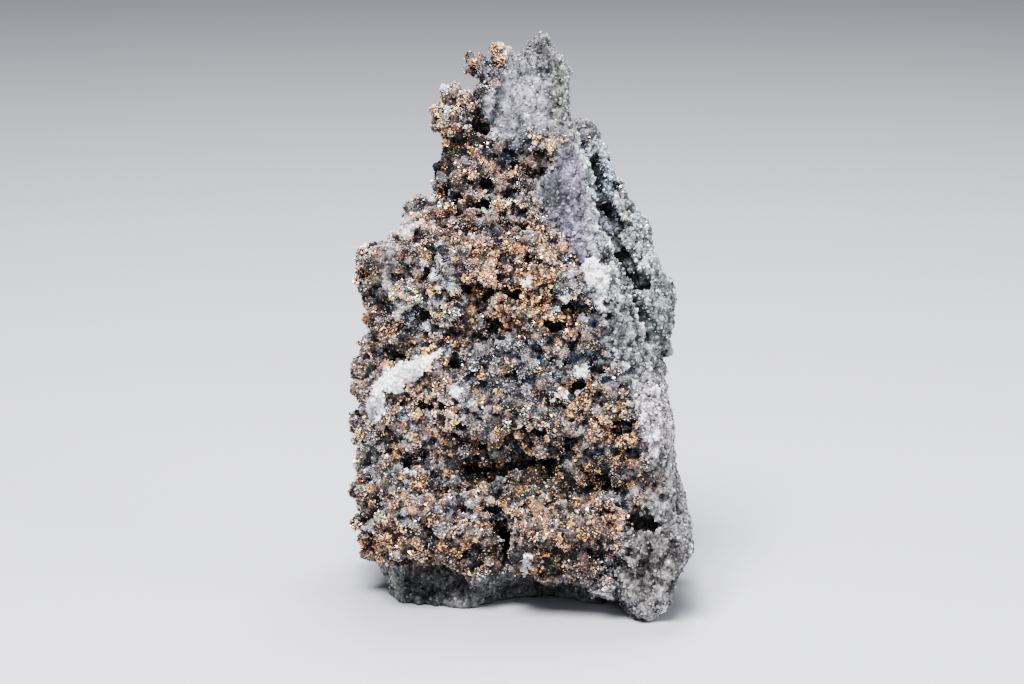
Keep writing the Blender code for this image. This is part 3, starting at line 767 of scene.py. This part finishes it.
def nearest(points, middles):
    """Which of the middles each point is nearest to."""
    tree = KDTree(len(middles))
    for n, middle in enumerate(middles):
        tree.insert(middle, n)
    tree.balance()
    return np.array([tree.find(p)[1] for p in points])


def kept_inside(places, radii, box, spare):
    """Moves grains that reach past the solid's box by more than this back to it."""
    low, high = (np.array(corner) / MM for corner in box)
    reach = radii[:, None] - spare
    return np.clip(places, low + reach, high - reach)


def growth_cover(skin, seen):
    """Where knobs grow: on the crust but for its smooth shoulder and its holes, and some on the foot."""
    foot = oval(seen, *KNOBS_ON_FOOT) * skin.front(0.2, -0.2)
    shoulder = 1.0 - 0.97 * oval(seen, *SMOOTH_SHOULDER)
    bare = 1.0 - calcite_share(skin, seen)
    cover = np.maximum(crust_share(skin, seen) * shoulder * bare, 0.3 * foot)
    cover = cover * (1.0 - smooth(0.1, 0.5, holes_share(skin, seen)))
    return cover * smooth(*GROWTH_FOOT, skin.points[:, 2])


def drawn_aside(skin, seen):
    """Draws the solid's corners in where the real one is slimmer, and fills up hollows that are too deep."""
    rise = math.radians(CAMERA_RISE_DEG)
    for *place, right, up in DRAWN.values():
        way = np.array((right, up * math.sin(rise), up * math.cos(rise)))
        skin.points = skin.points + oval(seen, *place, 0.6)[:, None] * way
    out = np.zeros(len(seen))
    for *place, far in FILLED.values():
        out += far * oval(seen, *place, 0.5)
    skin.move(out * skin.front(0.2, -0.2))


def lump_places(skin, seen):
    """The middles of the big lumps, sunk a little in the skin, and their radii."""
    places = []
    for x, h, radius in LUMPS:
        # Of the places that show at this spot, the foremost is taken.
        miss = np.hypot(seen[:, 0] - x, seen[:, 1] - h) + 0.02 * skin.points[:, 1]
        corner = np.argmin(miss)
        places.append(skin.points[corner] - LUMP_SUNK * radius * skin.normals[corner])
    return np.array(places), np.array([radius for _, _, radius in LUMPS])


def knobbly_skin(solid, box, generator):
    """The solid's surface with rounded knobs grown on the crust, as one even skin, and the knobs' middles."""
    skin = Skin(solid.data.copy(), FIRST_VOXEL)
    drawn_aside(skin, front_view(skin.points))
    seen = front_view(skin.points)
    hole = holes_share(skin, seen) * crust_share(skin, seen)
    skin.move(-MAKE_ROOM * growth_cover(skin, seen) - HOLE_DEPTH * hole)
    balls = [knob_shape(generator) for _ in range(KNOB_SHAPES)]
    for name, (grains, rise, voxel) in GROWTHS.items():
        seen = front_view(skin.points)
        places, radii, corners = scatter(skin, growth_cover(skin, seen), grains, generator)
        places = places + skin.normals[corners] * (rise * radii)[:, None]
        if name == "lumps":
            extra, extra_radii = lump_places(skin, seen)
            places = np.concatenate([places, extra])
            radii = np.concatenate([radii, extra_radii])
        places = kept_inside(places, radii, box, KNOB_SPARE)
        points, faces, _ = joined(balls, places, radii, generator)
        mesh = bpy.data.meshes.new("skin and knobs")
        quads = skin.faces + len(points)
        both = np.concatenate([points, skin.points]) * MM
        mesh.from_pydata(both.tolist(), [], faces.tolist() + quads.tolist())
        skin = Skin(mesh, voxel)
    return skin, places


def broken_faces(points, grit, fine):
    """Facets, chips, steps and small caves of broken rock."""
    chips = CHIP_HEIGHT * crests(points, 1.5, 3.0) + CHIP_HEIGHT * crests(points, 0.8, 5.0)
    chips = chips + FINE_GRAIN * fine
    steps = STEP_HEIGHT * cell_numbers(points, 0.8, 6.0)
    caves = pits(points, 1.5, 0.45, 8.0) * smooth(0.7, 1.0, grit)
    return grit * (chips + steps) + 0.5 * FINE_GRAIN * fine - PIT_DEPTH * caves


def edge_relief(skin, seen):
    """The slab's right edge, which stands up as a lip with a trough beside it."""
    off, along = edge_step(skin, seen)
    lip = smooth(-0.6, 0.0, off) * smooth(0.35, 0.2, off)
    trough = smooth(0.25, 0.45, off) * smooth(1.4, 0.7, off)
    return along * (EDGE_HEIGHT * lip - TROUGH_DEPTH * trough)


def sugary_blocks(points, fine):
    """Small blocks of calcite with a sugary surface."""
    sugar = ripples(points, 0.45, 68.0)
    return BLOCK_HEIGHT * cell_numbers(points, 0.5, 9.0) + 0.08 * sugar + 0.05 * fine - 0.05


def break_up(skin, seen, crust, grit, calcite, box):
    """Pits and roughness on the crust, facets and caves on the rock, small blocks on the calcite."""
    rock = 1.0 - crust
    fine = ripples(skin.points, 0.3)
    holes = holes_share(skin, seen)
    seam_caves = seam_share(skin, seen) * smooth(-0.5, 0.2, ripples(skin.points, 0.9, 66.0))
    pitted = np.maximum(0.4 * pits(skin.points, 1.7, 0.34, 4.0), holes)
    heights = crust * (FINE_GRAIN * fine - PIT_DEPTH * pitted)
    heights += rock * broken_faces(skin.points, grit, fine)
    heights -= rock * SEAM_DEPTH * np.maximum(seam_caves, holes)
    heights += rock * edge_relief(skin, seen)
    heights = heights * (1.0 - calcite) + calcite * sugary_blocks(skin.points, fine)
    skin.move(heights)
    skin.points = kept_inside(skin.points, np.zeros(len(skin.points)), box, KNOB_SPARE)
    skin.points[:, 2] = skin.points[:, 2].clip(0.0, None)


def grown_ground(solid, box, generator):
    """The skin with all its relief and what is at each of its corners, and the knobs' middles."""
    skin, knob_middles = knobbly_skin(solid, box, generator)
    seen = front_view(skin.points)
    crust = crust_share(skin, seen)
    calcite = calcite_share(skin, seen)
    stone, grit = rock_tone(skin, seen)
    break_up(skin, seen, crust, grit, calcite, box)
    opened = skin.openness()
    raised = smooth(*RAISED_OVER, skin.bulge(RAISED_RINGS))
    return Ground(skin, seen, crust, calcite, stone, grit, opened, raised), knob_middles


def film_table():
    """The linear colours of all films, by the number of the finish and of the shade."""
    return np.array([[linear(code) for code in FILMS[name]] for name in FILM_NAMES])


def drawn_finishes(mix, generator):
    """The number of one finish for each row of shares, drawn by chance."""
    return (generator.random((len(mix), 1)) > mix.cumsum(axis=1)).sum(axis=1).clip(0, len(FILMS) - 1)


def finished_knobs(middles, generator):
    """The knobs with the number of each one's finish, its shade from 1 to 3, and whether it is dull."""
    mix = crust_mix(front_view(middles), middles) * KNOB_FINISHES
    finish = drawn_finishes(mix / mix.sum(axis=1, keepdims=True), generator)
    shade = generator.choice(3, len(middles), p=KNOB_SHADES) + 1
    dull = generator.random(len(middles)) < np.array(DULL_SHARES)[finish]
    return Knobs(middles, finish, shade, dull)


def crust_tone(ground, knobs):
    """Colour of the crust's own skin: each knob in its finish, with thick dark tarnish and painted shade in
    the gaps.
    """
    points = ground.skin.points
    near = nearest(points, knobs.middles)
    own = film_table()[knobs.finish[near], knobs.shade[near]]
    mix = crust_mix(ground.seen, points)
    cold = mix[:, [FILM_NAMES.index(name) for name in ("steel", "blue", "chalk")]].sum(axis=1)[:, None]
    cold = 0.45 + 0.55 * cold
    shaded_tarnish = cold * linear(COLD_SHADED_TARNISH) + (1.0 - cold) * linear(WARM_SHADED_TARNISH)
    # Painted shade as well as tarnish: the skin turns to the gap colour where it is closed in and where it is
    # low.
    open_share = (smooth(0.05, 0.85, ground.opened) * (0.4 + 0.6 * ground.raised))[:, None]
    worn = np.where(knobs.dull[near], 0.8, 0.55)[:, None]
    own = own * worn * film_and_shade(ground.seen, points)[:, None]
    return shaded_tarnish * (1.0 - open_share) + own * open_share


def stone_tone(ground):
    """Colour of bare rock: cloudy, with pale threads and dark cracks, a painted highlight along the slab's
    edge beside painted shadow in the seam, and painted shade where it is closed in or low.
    """
    points, seen, grit = ground.skin.points, ground.seen, ground.grit
    flat = points * (1.0, 1.0, 0.6)
    clouds = 1.0 + 0.5 * ripples(flat, 1.6, 71.0) + 0.4 * ripples(points, 0.6, 72.0)
    threads = smooth(0.07, 0.0, np.abs(ripples(flat, 2.4, 73.0) + 0.1 * ripples(points, 0.4, 74.0)))
    cracks = smooth(0.05, 0.0, np.abs(ripples(flat, 1.9, 75.0) + 0.1 * ripples(points, 0.4, 76.0)))
    clouds = clouds.clip(0.4, 1.8) * (1.0 + 0.5 * threads) * (1.0 - 0.55 * cracks * (0.3 + grit).clip(0, 1))
    off, along = edge_step(ground.skin, seen)
    # Painted highlight along the slab's right edge, and painted shadow in the seam to its right.
    edge = 0.8 * along * smooth(-0.15, 0.0, off) * smooth(0.4, 0.3, off)
    shade = along * smooth(0.3, 0.5, off) * smooth(1.6, 0.7, off) * smooth(*SEAM_SHADOW_FROM, seen[:, 1])
    shade = shade * (0.25 + 0.9 * ripples(points, 0.7, 78.0)).clip(0.0, 0.7)
    tone = ground.stone * clouds[:, None]
    tone = tone * (1.0 - edge[:, None]) + edge[:, None] * linear(EDGE_HIGHLIGHT)
    tone = tone * (1.0 - shade[:, None]) + shade[:, None] * linear(SEAM_SHADOW)
    # Painted shade: the rock is darker where it is closed in and where it is low, a little lighter on raised
    # tops.
    return tone * ((0.16 + 0.74 * smooth(0.1, 0.9, ground.opened)) * (0.65 + 0.45 * ground.raised))[:, None]


def ground_tone(ground, knobs):
    """Colour at each corner of the skin."""
    crust = ground.crust[:, None]
    tone = crust_tone(ground, knobs) * crust + stone_tone(ground) * (1.0 - crust)
    worn = 0.85 + 0.15 * smooth(0.5, 0.8, ground.calcite)
    worn = worn * (1.0 + 0.2 * ripples(ground.skin.points, 0.45, 81.0))
    white = linear(MASS_WHITE) * worn.clip(0.6, 1.0)[:, None]
    return np.where(ground.calcite[:, None] > 0.5, white, tone)


def crystal_films(ground, knobs, on, places, radii, corners, generator):
    """The colour and radius of each crystal, which stand on the knobs with these numbers. Crystals of one
    knob mostly share a finish. Hollows and low places are darker, thick tarnish and painted shade together,
    and the cleanest crystals stand in patches and have grown larger, their lightest film also a painted
    highlight."""
    opened, raised = ground.opened[corners], ground.raised[corners]
    on_crust = ground.crust[corners] > 0.4
    dull = knobs.dull[on]
    own = drawn_finishes(crust_mix(front_view(places), places), generator)
    follows = on_crust & (dull | (generator.random(len(places)) < KNOB_FOLLOWERS))
    pick = np.where(follows, knobs.finish[on], own)
    in_gap = (raised < 0.4) & (generator.random(len(places)) < BLUE_IN_GAPS)
    pick = np.where(in_gap, FILM_NAMES.index("blue"), pick)
    patch = 0.5 + 0.9 * ripples(places, 0.5, 12.0)
    # Painted shade as well as tarnish: crystals in closed-in and low places draw darker shades.
    tarnish_and_shade = 0.25 * (0.8 - opened) + 0.3 * (0.6 - raised)
    number = np.clip(0.6 * generator.random(len(places)) + 0.4 * patch + tarnish_and_shade, 0.0, 0.999)
    bright_shade = (number[:, None] > np.cumsum(FILM_SHARES)).sum(axis=1)
    speckle = generator.choice((-1, 0, 1), len(places), p=SPECKLE_SHARES)
    # A dull knob's crystals in low places are a step darker: painted shade as well as tarnish.
    even_shade = (knobs.shade[on] + speckle + (raised < 0.3)).clip(0, 4)
    shade = np.where(dull & on_crust, even_shade, bright_shade)
    # Painted shade as well as tarnish: closed-in crystals take a dark shade.
    shade = np.where(opened < 0.3, np.maximum(shade, 3), shade)
    warm = (pick == FILM_NAMES.index("rose")) | (pick == FILM_NAMES.index("gold"))
    # Painted highlight as well as clean faces: warm crystals on raised places in bright patches take the
    # lightest film.
    clean_and_glinting = warm & (patch > 0.58) & (raised > 0.5) & ~dull
    shade = np.where(clean_and_glinting, 0, shade)
    radii = np.where(clean_and_glinting, CLEAN_GLINT_GROWTH * radii, radii)
    colours = film_table()[pick, shade] * generator.normal(1.0, 0.2, (len(places), 1)).clip(0.5, 1.6)
    return (colours * film_and_shade(front_view(places), places)[:, None]).clip(0.0, 0.95), radii


def add_node(material, kind, settings=None, links=None):
    """Adds a shader node, sets its settings and sockets, and links other nodes' outputs to its sockets."""
    tree = material.node_tree
    node = tree.nodes.new(kind)
    for name, value in (settings or {}).items():
        if isinstance(name, str) and hasattr(node, name):
            setattr(node, name, value)
        else:
            node.inputs[name].default_value = value
    for socket, source in (links or {}).items():
        tree.links.new(source, node.inputs[socket])
    return node


def new_material(name):
    """A material of this name with no nodes yet."""
    material = bpy.data.materials.new(name)
    material.use_nodes = True
    material.node_tree.nodes.clear()
    return material


def finish_material(material, settings, links):
    """Ends a material in one shader with these settings and links."""
    shader = add_node(material, "ShaderNodeBsdfPrincipled", settings, links)
    add_node(material, "ShaderNodeOutputMaterial", links={"Surface": shader.outputs["BSDF"]})
    return material


def per_metre(size):
    """The scale of a pattern whose features are this many millimetres apart."""
    return 1.0 / (size * MM)


def grain_material(name, metallic, roughness):
    """Small grains, each in its own colour."""
    material = new_material(name)
    film = add_node(material, "ShaderNodeAttribute", {"attribute_name": "film"})
    look = {"Metallic": metallic, "Roughness": roughness}
    return finish_material(material, look, {"Base Color": film.outputs["Color"]})


def stone_material(name, metallic, roughness, flecks, stretch, relief):
    """A rough stone: its painted tone under dark patches, pale threads and fine grain, with flecks. A stretch
    under 1 draws the patches and threads out along the bedding."""
    material = new_material(name)
    tone = add_node(material, "ShaderNodeAttribute", {"attribute_name": "tone"})
    grit = add_node(material, "ShaderNodeAttribute", {"attribute_name": "grit"})
    place = add_node(material, "ShaderNodeTexCoord")
    bedding = add_node(
        material,
        "ShaderNodeMapping",
        {"Rotation": (0.0, math.radians(BEDDING_TILT_DEG), 0.0), "Scale": (1.0, 1.0, stretch)},
        {"Vector": place.outputs["Object"]},
    )
    patches = add_node(
        material,
        "ShaderNodeTexNoise",
        {"Scale": per_metre(PATCH_SIZE), "Detail": 5.0, "Roughness": 0.78, "Distortion": 0.9},
        {"Vector": bedding.outputs["Vector"]},
    )
    threads = add_node(
        material,
        "ShaderNodeTexNoise",
        {
            "noise_type": "RIDGED_MULTIFRACTAL",
            "Scale": per_metre(THREAD_SIZE),
            "Detail": 5.0,
            "Roughness": 0.7,
        },
        {"Vector": bedding.outputs["Vector"]},
    )
    grains = add_node(
        material,
        "ShaderNodeTexNoise",
        {"Scale": per_metre(GRAIN_SIZE), "Detail": 3.0, "Roughness": 0.6},
        {"Vector": place.outputs["Object"]},
    )
    # Patches stand out more on gritty stone: the grit raises their contrast.
    doubled = add_node(
        material, "ShaderNodeMath", {"operation": "MULTIPLY", 1: 2.0}, {0: patches.outputs["Fac"]}
    )
    contrast = add_node(
        material, "ShaderNodeMath", {"operation": "MULTIPLY_ADD", 1: 4.0, 2: 0.8}, {0: grit.outputs["Fac"]}
    )
    patch_shade = add_node(
        material,
        "ShaderNodeMath",
        {"operation": "POWER"},
        {0: doubled.outputs["Value"], 1: contrast.outputs["Value"]},
    )
    grain_shade = add_node(
        material,
        "ShaderNodeMapRange",
        {"From Min": 0.35, "From Max": 0.65, "To Min": 0.68, "To Max": 1.32},
        {"Value": grains.outputs["Fac"]},
    )
    thread_shade = add_node(
        material,
        "ShaderNodeMapRange",
        {"From Min": 0.2, "From Max": 0.9, "To Min": 0.8, "To Max": 1.45},
        {"Value": threads.outputs["Fac"]},
    )
    fine_shade = add_node(
        material,
        "ShaderNodeMath",
        {"operation": "MULTIPLY"},
        {0: grain_shade.outputs["Result"], 1: thread_shade.outputs["Result"]},
    )
    shade = add_node(
        material,
        "ShaderNodeMath",
        {"operation": "MULTIPLY"},
        {0: patch_shade.outputs["Value"], 1: fine_shade.outputs["Value"]},
    )
    shaded = add_node(
        material,
        "ShaderNodeVectorMath",
        {"operation": "SCALE"},
        {0: tone.outputs["Color"], "Scale": shade.outputs["Value"]},
    )
    fleck_share = add_node(
        material,
        "ShaderNodeMapRange",
        {"From Min": 0.46, "From Max": 0.38, "To Min": 0.0, "To Max": 0.8},
        {"Value": patches.outputs["Fac"]},
    )
    # Sockets 0, 6 and 7 of a colour mix are its factor and its two colours, and output 2 is the mixed colour.
    colour = add_node(
        material,
        "ShaderNodeMix",
        {"data_type": "RGBA", 7: (*linear(flecks), 1.0)},
        {0: fleck_share.outputs["Result"], 6: shaded.outputs["Vector"]},
    )
    bumps = add_node(
        material,
        "ShaderNodeBump",
        {"Strength": 1.0, "Distance": relief * MM},
        {"Height": grains.outputs["Fac"]},
    )
    look = {"Metallic": metallic, "Roughness": roughness}
    return finish_material(
        material, look, {"Base Color": colour.outputs[2], "Normal": bumps.outputs["Normal"]}
    )


def broken_rock():
    # Grey to lilac host rock, broken across its bedding: dull, with pale threads and long blackish flecks.
    name = "host rock, broken"
    return stone_material(name, metallic=0.0, roughness=0.85, flecks="#2E2F38", stretch=0.45, relief=0.08)


def crusted_silver():
    # Native silver grown as a fine crust, under a thick tarnish that isn't metal: it shines only a little.
    name = "tarnished native silver, crust"
    return stone_material(name, metallic=0.3, roughness=0.6, flecks="#23242A", stretch=1.0, relief=0.08)


def calcite_mass():
    # White calcite, grown as a sugary mass: a stone with a soft shine and pale grey between its grains.
    name = "calcite, grown"
    return stone_material(name, metallic=0.0, roughness=0.5, flecks="#C0C0C8", stretch=1.0, relief=0.04)


def bright_silver():
    # Crystals of native silver under a thin film of tarnish: their faces glint in the film's colour.
    return grain_material("native silver under a film of tarnish, crystals", metallic=0.7, roughness=0.42)


def dull_silver():
    # Crystals of native silver thick with tarnish: hardly any glint, so that their knobs look sooty or dusty.
    return grain_material("native silver thick with tarnish, crystals", metallic=0.45, roughness=0.55)


def loose_rock():
    # Grains broken from the host rock: dull, in its own tones.
    return grain_material("host rock, loose grains", metallic=0.0, roughness=0.8)


def small_calcite():
    # Small crystals of calcite with smooth grown faces: white, with a few soft glints.
    return grain_material("calcite, small crystals", metallic=0.0, roughness=0.35)


def studio_paper():
    # Matt paper: pale and without a shine.
    look = {"Base Color": (*linear(PAPER), 1.0), "Roughness": 0.8}
    return finish_material(new_material("pale studio paper"), look, {})


def paint(thing, name, colours):
    """Stores one colour for each corner point."""
    layer = thing.data.color_attributes.new(name, "FLOAT_COLOR", "POINT")
    four = np.ones((len(colours), 4))
    four[:, : colours.shape[1]] = colours
    layer.data.foreach_set("color", four.ravel())


def one_patch_each(thing, owners):
    """Texture places for the exported model: each grain has one small patch, shared by its faces."""
    side = math.ceil(math.sqrt(owners.max() + 1))
    corner = np.stack([owners % side, owners // side], axis=1)[:, None, :]
    patch = np.array([(0.2, 0.2), (0.8, 0.2), (0.2, 0.8)])
    layer = thing.data.uv_layers.new(name="OFBake")
    layer.uv.foreach_set("vector", ((corner + patch) / side).ravel())


def mesh_object(name, points, faces, material, smooth_shaded):
    """A visible piece, which takes the solid's place together with the others."""
    mesh = bpy.data.meshes.new(name)
    mesh.from_pydata((points * MM).tolist(), [], faces.tolist())
    mesh.polygons.foreach_set("use_smooth", np.full(len(mesh.polygons), smooth_shaded))
    mesh.materials.append(material)
    thing = bpy.data.objects.new(name, mesh)
    bpy.context.scene.collection.objects.link(thing)
    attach(thing, BODY)
    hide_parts(NODE)
    return thing


def skin_piece(name, skin, keep, tone, grit, material, smooth_shaded=True):
    """The kept faces of the skin as one piece."""
    used, where = np.unique(skin.faces[keep], return_inverse=True)
    thing = mesh_object(name, skin.points[used], where.reshape(-1, 4), material, smooth_shaded)
    paint(thing, "tone", tone[used])
    grit = np.broadcast_to(grit, len(skin.points))
    paint(thing, "grit", np.repeat(grit[used, None], 3, axis=1))
    return thing


def thin_out(thing, share):
    """Keeps this share of a piece's faces."""
    fewer = thing.modifiers.new("fewer faces", "DECIMATE")
    fewer.ratio = share
    graph = bpy.context.evaluated_depsgraph_get()
    made = bpy.data.meshes.new_from_object(thing.evaluated_get(graph))
    thing.modifiers.clear()
    old = thing.data
    thing.data = made
    bpy.data.meshes.remove(old)


def skin_pieces(ground, tone):
    """The skin as four pieces: silver crust, calcite, and the rock in front and at the back."""
    skin = ground.skin
    white = ground.calcite[skin.faces].mean(axis=1) > 0.5
    crusted = (ground.crust[skin.faces].mean(axis=1) > 0.5) & ~white
    stony = ~crusted & ~white
    facing = skin.normals[skin.faces[:, 0], 1] < 0.1
    rock = broken_rock()
    skin_piece("crust_skin", skin, crusted, tone, CRUST_GRIT, crusted_silver())
    skin_piece("rock_front", skin, stony & facing, tone, ground.grit, rock)
    thin_out(skin_piece("rock_back", skin, stony & ~facing, tone, ground.grit, rock), BACK_SHARE)
    skin_piece("calcite", skin, white, tone, CALCITE_GRIT, calcite_mass(), smooth_shaded=False)


def grain_piece(name, shapes, places, radii, material, generator):
    """Copies of the shapes as one piece, and the number of each corner's copy."""
    points, faces, owners = joined(shapes, places, radii, generator)
    thing = mesh_object(name, points, faces, material, False)
    one_patch_each(thing, owners[faces[:, 0]])
    return thing, owners


def silver_cover(ground):
    """Where silver crystals grow: on the crust, and in patches on the ridge behind the slab."""
    skin, seen = ground.skin, ground.seen
    ridge = oval(seen, *SILVERED_RIDGE) * skin.front(0.2, -0.2)
    ridge = ridge * smooth(0.0, 0.4, ripples(skin.points, 0.9, 91.0)) * (edge_step(skin, seen)[0] > 0.4)
    cover = np.maximum(ground.crust, 0.35 * ridge) * (ground.calcite < 0.3)
    return cover * smooth(0.08, 0.4, ground.opened) * smooth(*GRAIN_FOOT, skin.points[:, 2])


def silver_crystals(ground, knobs, box, generator):
    """The silver crystals' places, radii and colours, and which of them stand on dull knobs."""
    places, radii, corners = scatter(ground.skin, silver_cover(ground), SILVER_CRYSTALS, generator)
    on = nearest(places, knobs.middles)
    dull = knobs.dull[on]
    radii = np.where(dull, DULL_GROWTH * radii, radii)
    places = places + ground.skin.normals[corners] * (CRYSTAL_RISE * radii)[:, None]
    places = kept_inside(places, radii, box, GRAIN_SPARE)
    colours, radii = crystal_films(ground, knobs, on, places, radii, corners, generator)
    return places, radii, colours, dull


def rock_crumbs(ground, tone, box, generator):
    """Small grains on the bare rock, in its own tone."""
    skin = ground.skin
    bare = (1.0 - ground.crust) * (1.0 - ground.calcite) * (0.05 + ground.grit) * skin.front(0.5, 0.2)
    cover = bare * smooth(0.3, 0.7, ground.opened) * smooth(*GRAIN_FOOT, skin.points[:, 2])
    places, radii, corners = scatter(skin, cover, ROCK_CRUMBS, generator)
    places = kept_inside(places, radii, box, GRAIN_SPARE)
    shapes = [crystal_shape(kind, generator) for kind in CRUMB_SHAPES]
    thing, owners = grain_piece("rock_crumbs", shapes, places, radii, loose_rock(), generator)
    colours = tone[corners] * generator.normal(1.25, 0.5, (len(corners), 1)).clip(0.35, 2.4)
    paint(thing, "film", colours[owners].clip(0.0, 0.9))


def calcite_crystals(ground, generator):
    """Blocky crystals on the calcite, and single ones among the silver."""
    skin = ground.skin
    seen = front_view(skin.points)
    cover = smooth(0.5, 0.9, ground.calcite) * smooth(*GRAIN_FOOT, skin.points[:, 2])
    places, radii, _ = scatter(skin, cover, CALCITE_CRYSTALS, generator)
    singles = [np.argmin(np.hypot(seen[:, 0] - x, seen[:, 1] - h)) for x, h, _ in WHITE_CRYSTALS]
    own = np.array([radius for _, _, radius in WHITE_CRYSTALS])
    lifted = skin.points[singles] + 0.5 * own[:, None] * skin.normals[singles]
    places = np.concatenate([places, lifted])
    radii = np.concatenate([radii, own])
    shapes = [crystal_shape(kind, generator) for kind in CALCITE_SHAPES]
    thing, owners = grain_piece("calcite_crystals", shapes, places, radii, small_calcite(), generator)
    white = linear(CRYSTAL_WHITE) * generator.normal(0.92, 0.12, (len(places), 1)).clip(0.6, 1.0)
    paint(thing, "film", white[owners])


def crystal_pieces(places, radii, colours, dull, generator):
    """The silver crystals as one dull piece, and four bright ones that follow each other up the specimen."""
    shapes = [crystal_shape(kind, generator) for kind in SILVER_SHAPES]
    bright = np.where(~dull)[0]
    bright = bright[np.argsort(places[bright, 2])]
    groups = {"dull": (np.where(dull)[0], dull_silver())}
    shining = bright_silver()
    for name, group in zip(("lip", "flank", "ledge", "brow"), np.array_split(bright, 4)):
        groups[name] = (group, shining)
    for name, (own, material) in groups.items():
        name = "crystals_" + name
        thing, owners = grain_piece(name, shapes, places[own], radii[own], material, generator)
        paint(thing, "film", colours[own][owners])


def specimen(solid, box, generator):
    """All the visible pieces."""
    ground, knob_middles = grown_ground(solid, box, generator)
    knobs = finished_knobs(knob_middles, generator)
    tone = ground_tone(ground, knobs)
    skin_pieces(ground, tone)
    crystals = silver_crystals(ground, knobs, box, generator)
    rock_crumbs(ground, tone, box, generator)
    calcite_crystals(ground, generator)
    crystal_pieces(*crystals, generator)


def floor():
    """Paper under and behind the specimen."""
    mesh = bpy.data.meshes.new("floor")
    mesh.from_pydata([(-2, -1, 0), (2, -1, 0), (2, 3, 0), (-2, 3, 0)], [], [(0, 1, 2, 3)])
    mesh.materials.append(studio_paper())
    sheet = bpy.data.objects.new("floor", mesh)
    bpy.context.scene.collection.objects.link(sheet)


def studio_light():
    """A pale sky all round and four soft lamps."""
    world = bpy.data.worlds.new("studio")
    bpy.context.scene.world = world
    world.use_nodes = True
    colour, strength = SKY
    sky = world.node_tree.nodes["Background"].inputs
    sky["Color"].default_value = (*linear(colour), 1.0)
    sky["Strength"].default_value = strength
    for name, (place, width, power) in LAMPS.items():
        data = bpy.data.lights.new(name, "AREA")
        data.size = width
        data.energy = power
        lamp = bpy.data.objects.new(name, data)
        lamp.location = place
        lamp.rotation_euler = (Vector(LAMP_AIM) - Vector(place)).to_track_quat("-Z", "Y").to_euler()
        bpy.context.scene.collection.objects.link(lamp)


def front_camera():
    """A camera that looks at the crusted face from a little above."""
    data = bpy.data.cameras.new("camera")
    data.lens = CAMERA_LENS
    data.sensor_width = SENSOR_WIDTH
    camera = bpy.data.objects.new("camera", data)
    rise = math.radians(CAMERA_RISE_DEG)
    back = Vector((0.0, -math.cos(rise), math.sin(rise)))
    camera.location = (Vector(CAMERA_TARGET) + CAMERA_DISTANCE * back) * MM
    camera.rotation_euler = (-back).to_track_quat("-Z", "Y").to_euler()
    bpy.context.scene.collection.objects.link(camera)
    bpy.context.scene.camera = camera


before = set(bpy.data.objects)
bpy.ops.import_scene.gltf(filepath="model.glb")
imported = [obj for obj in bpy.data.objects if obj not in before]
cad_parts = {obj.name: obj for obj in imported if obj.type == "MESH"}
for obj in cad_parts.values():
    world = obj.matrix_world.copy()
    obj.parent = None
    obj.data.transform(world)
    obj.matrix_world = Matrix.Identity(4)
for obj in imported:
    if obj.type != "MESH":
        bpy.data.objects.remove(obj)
cad_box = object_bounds()

front_camera()
floor()
studio_light()
bpy.context.scene.view_settings.view_transform = "AgX"
bpy.context.scene.view_settings.look = "AgX - High Contrast"
specimen(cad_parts[NODE], cad_box, np.random.default_rng(SEED))
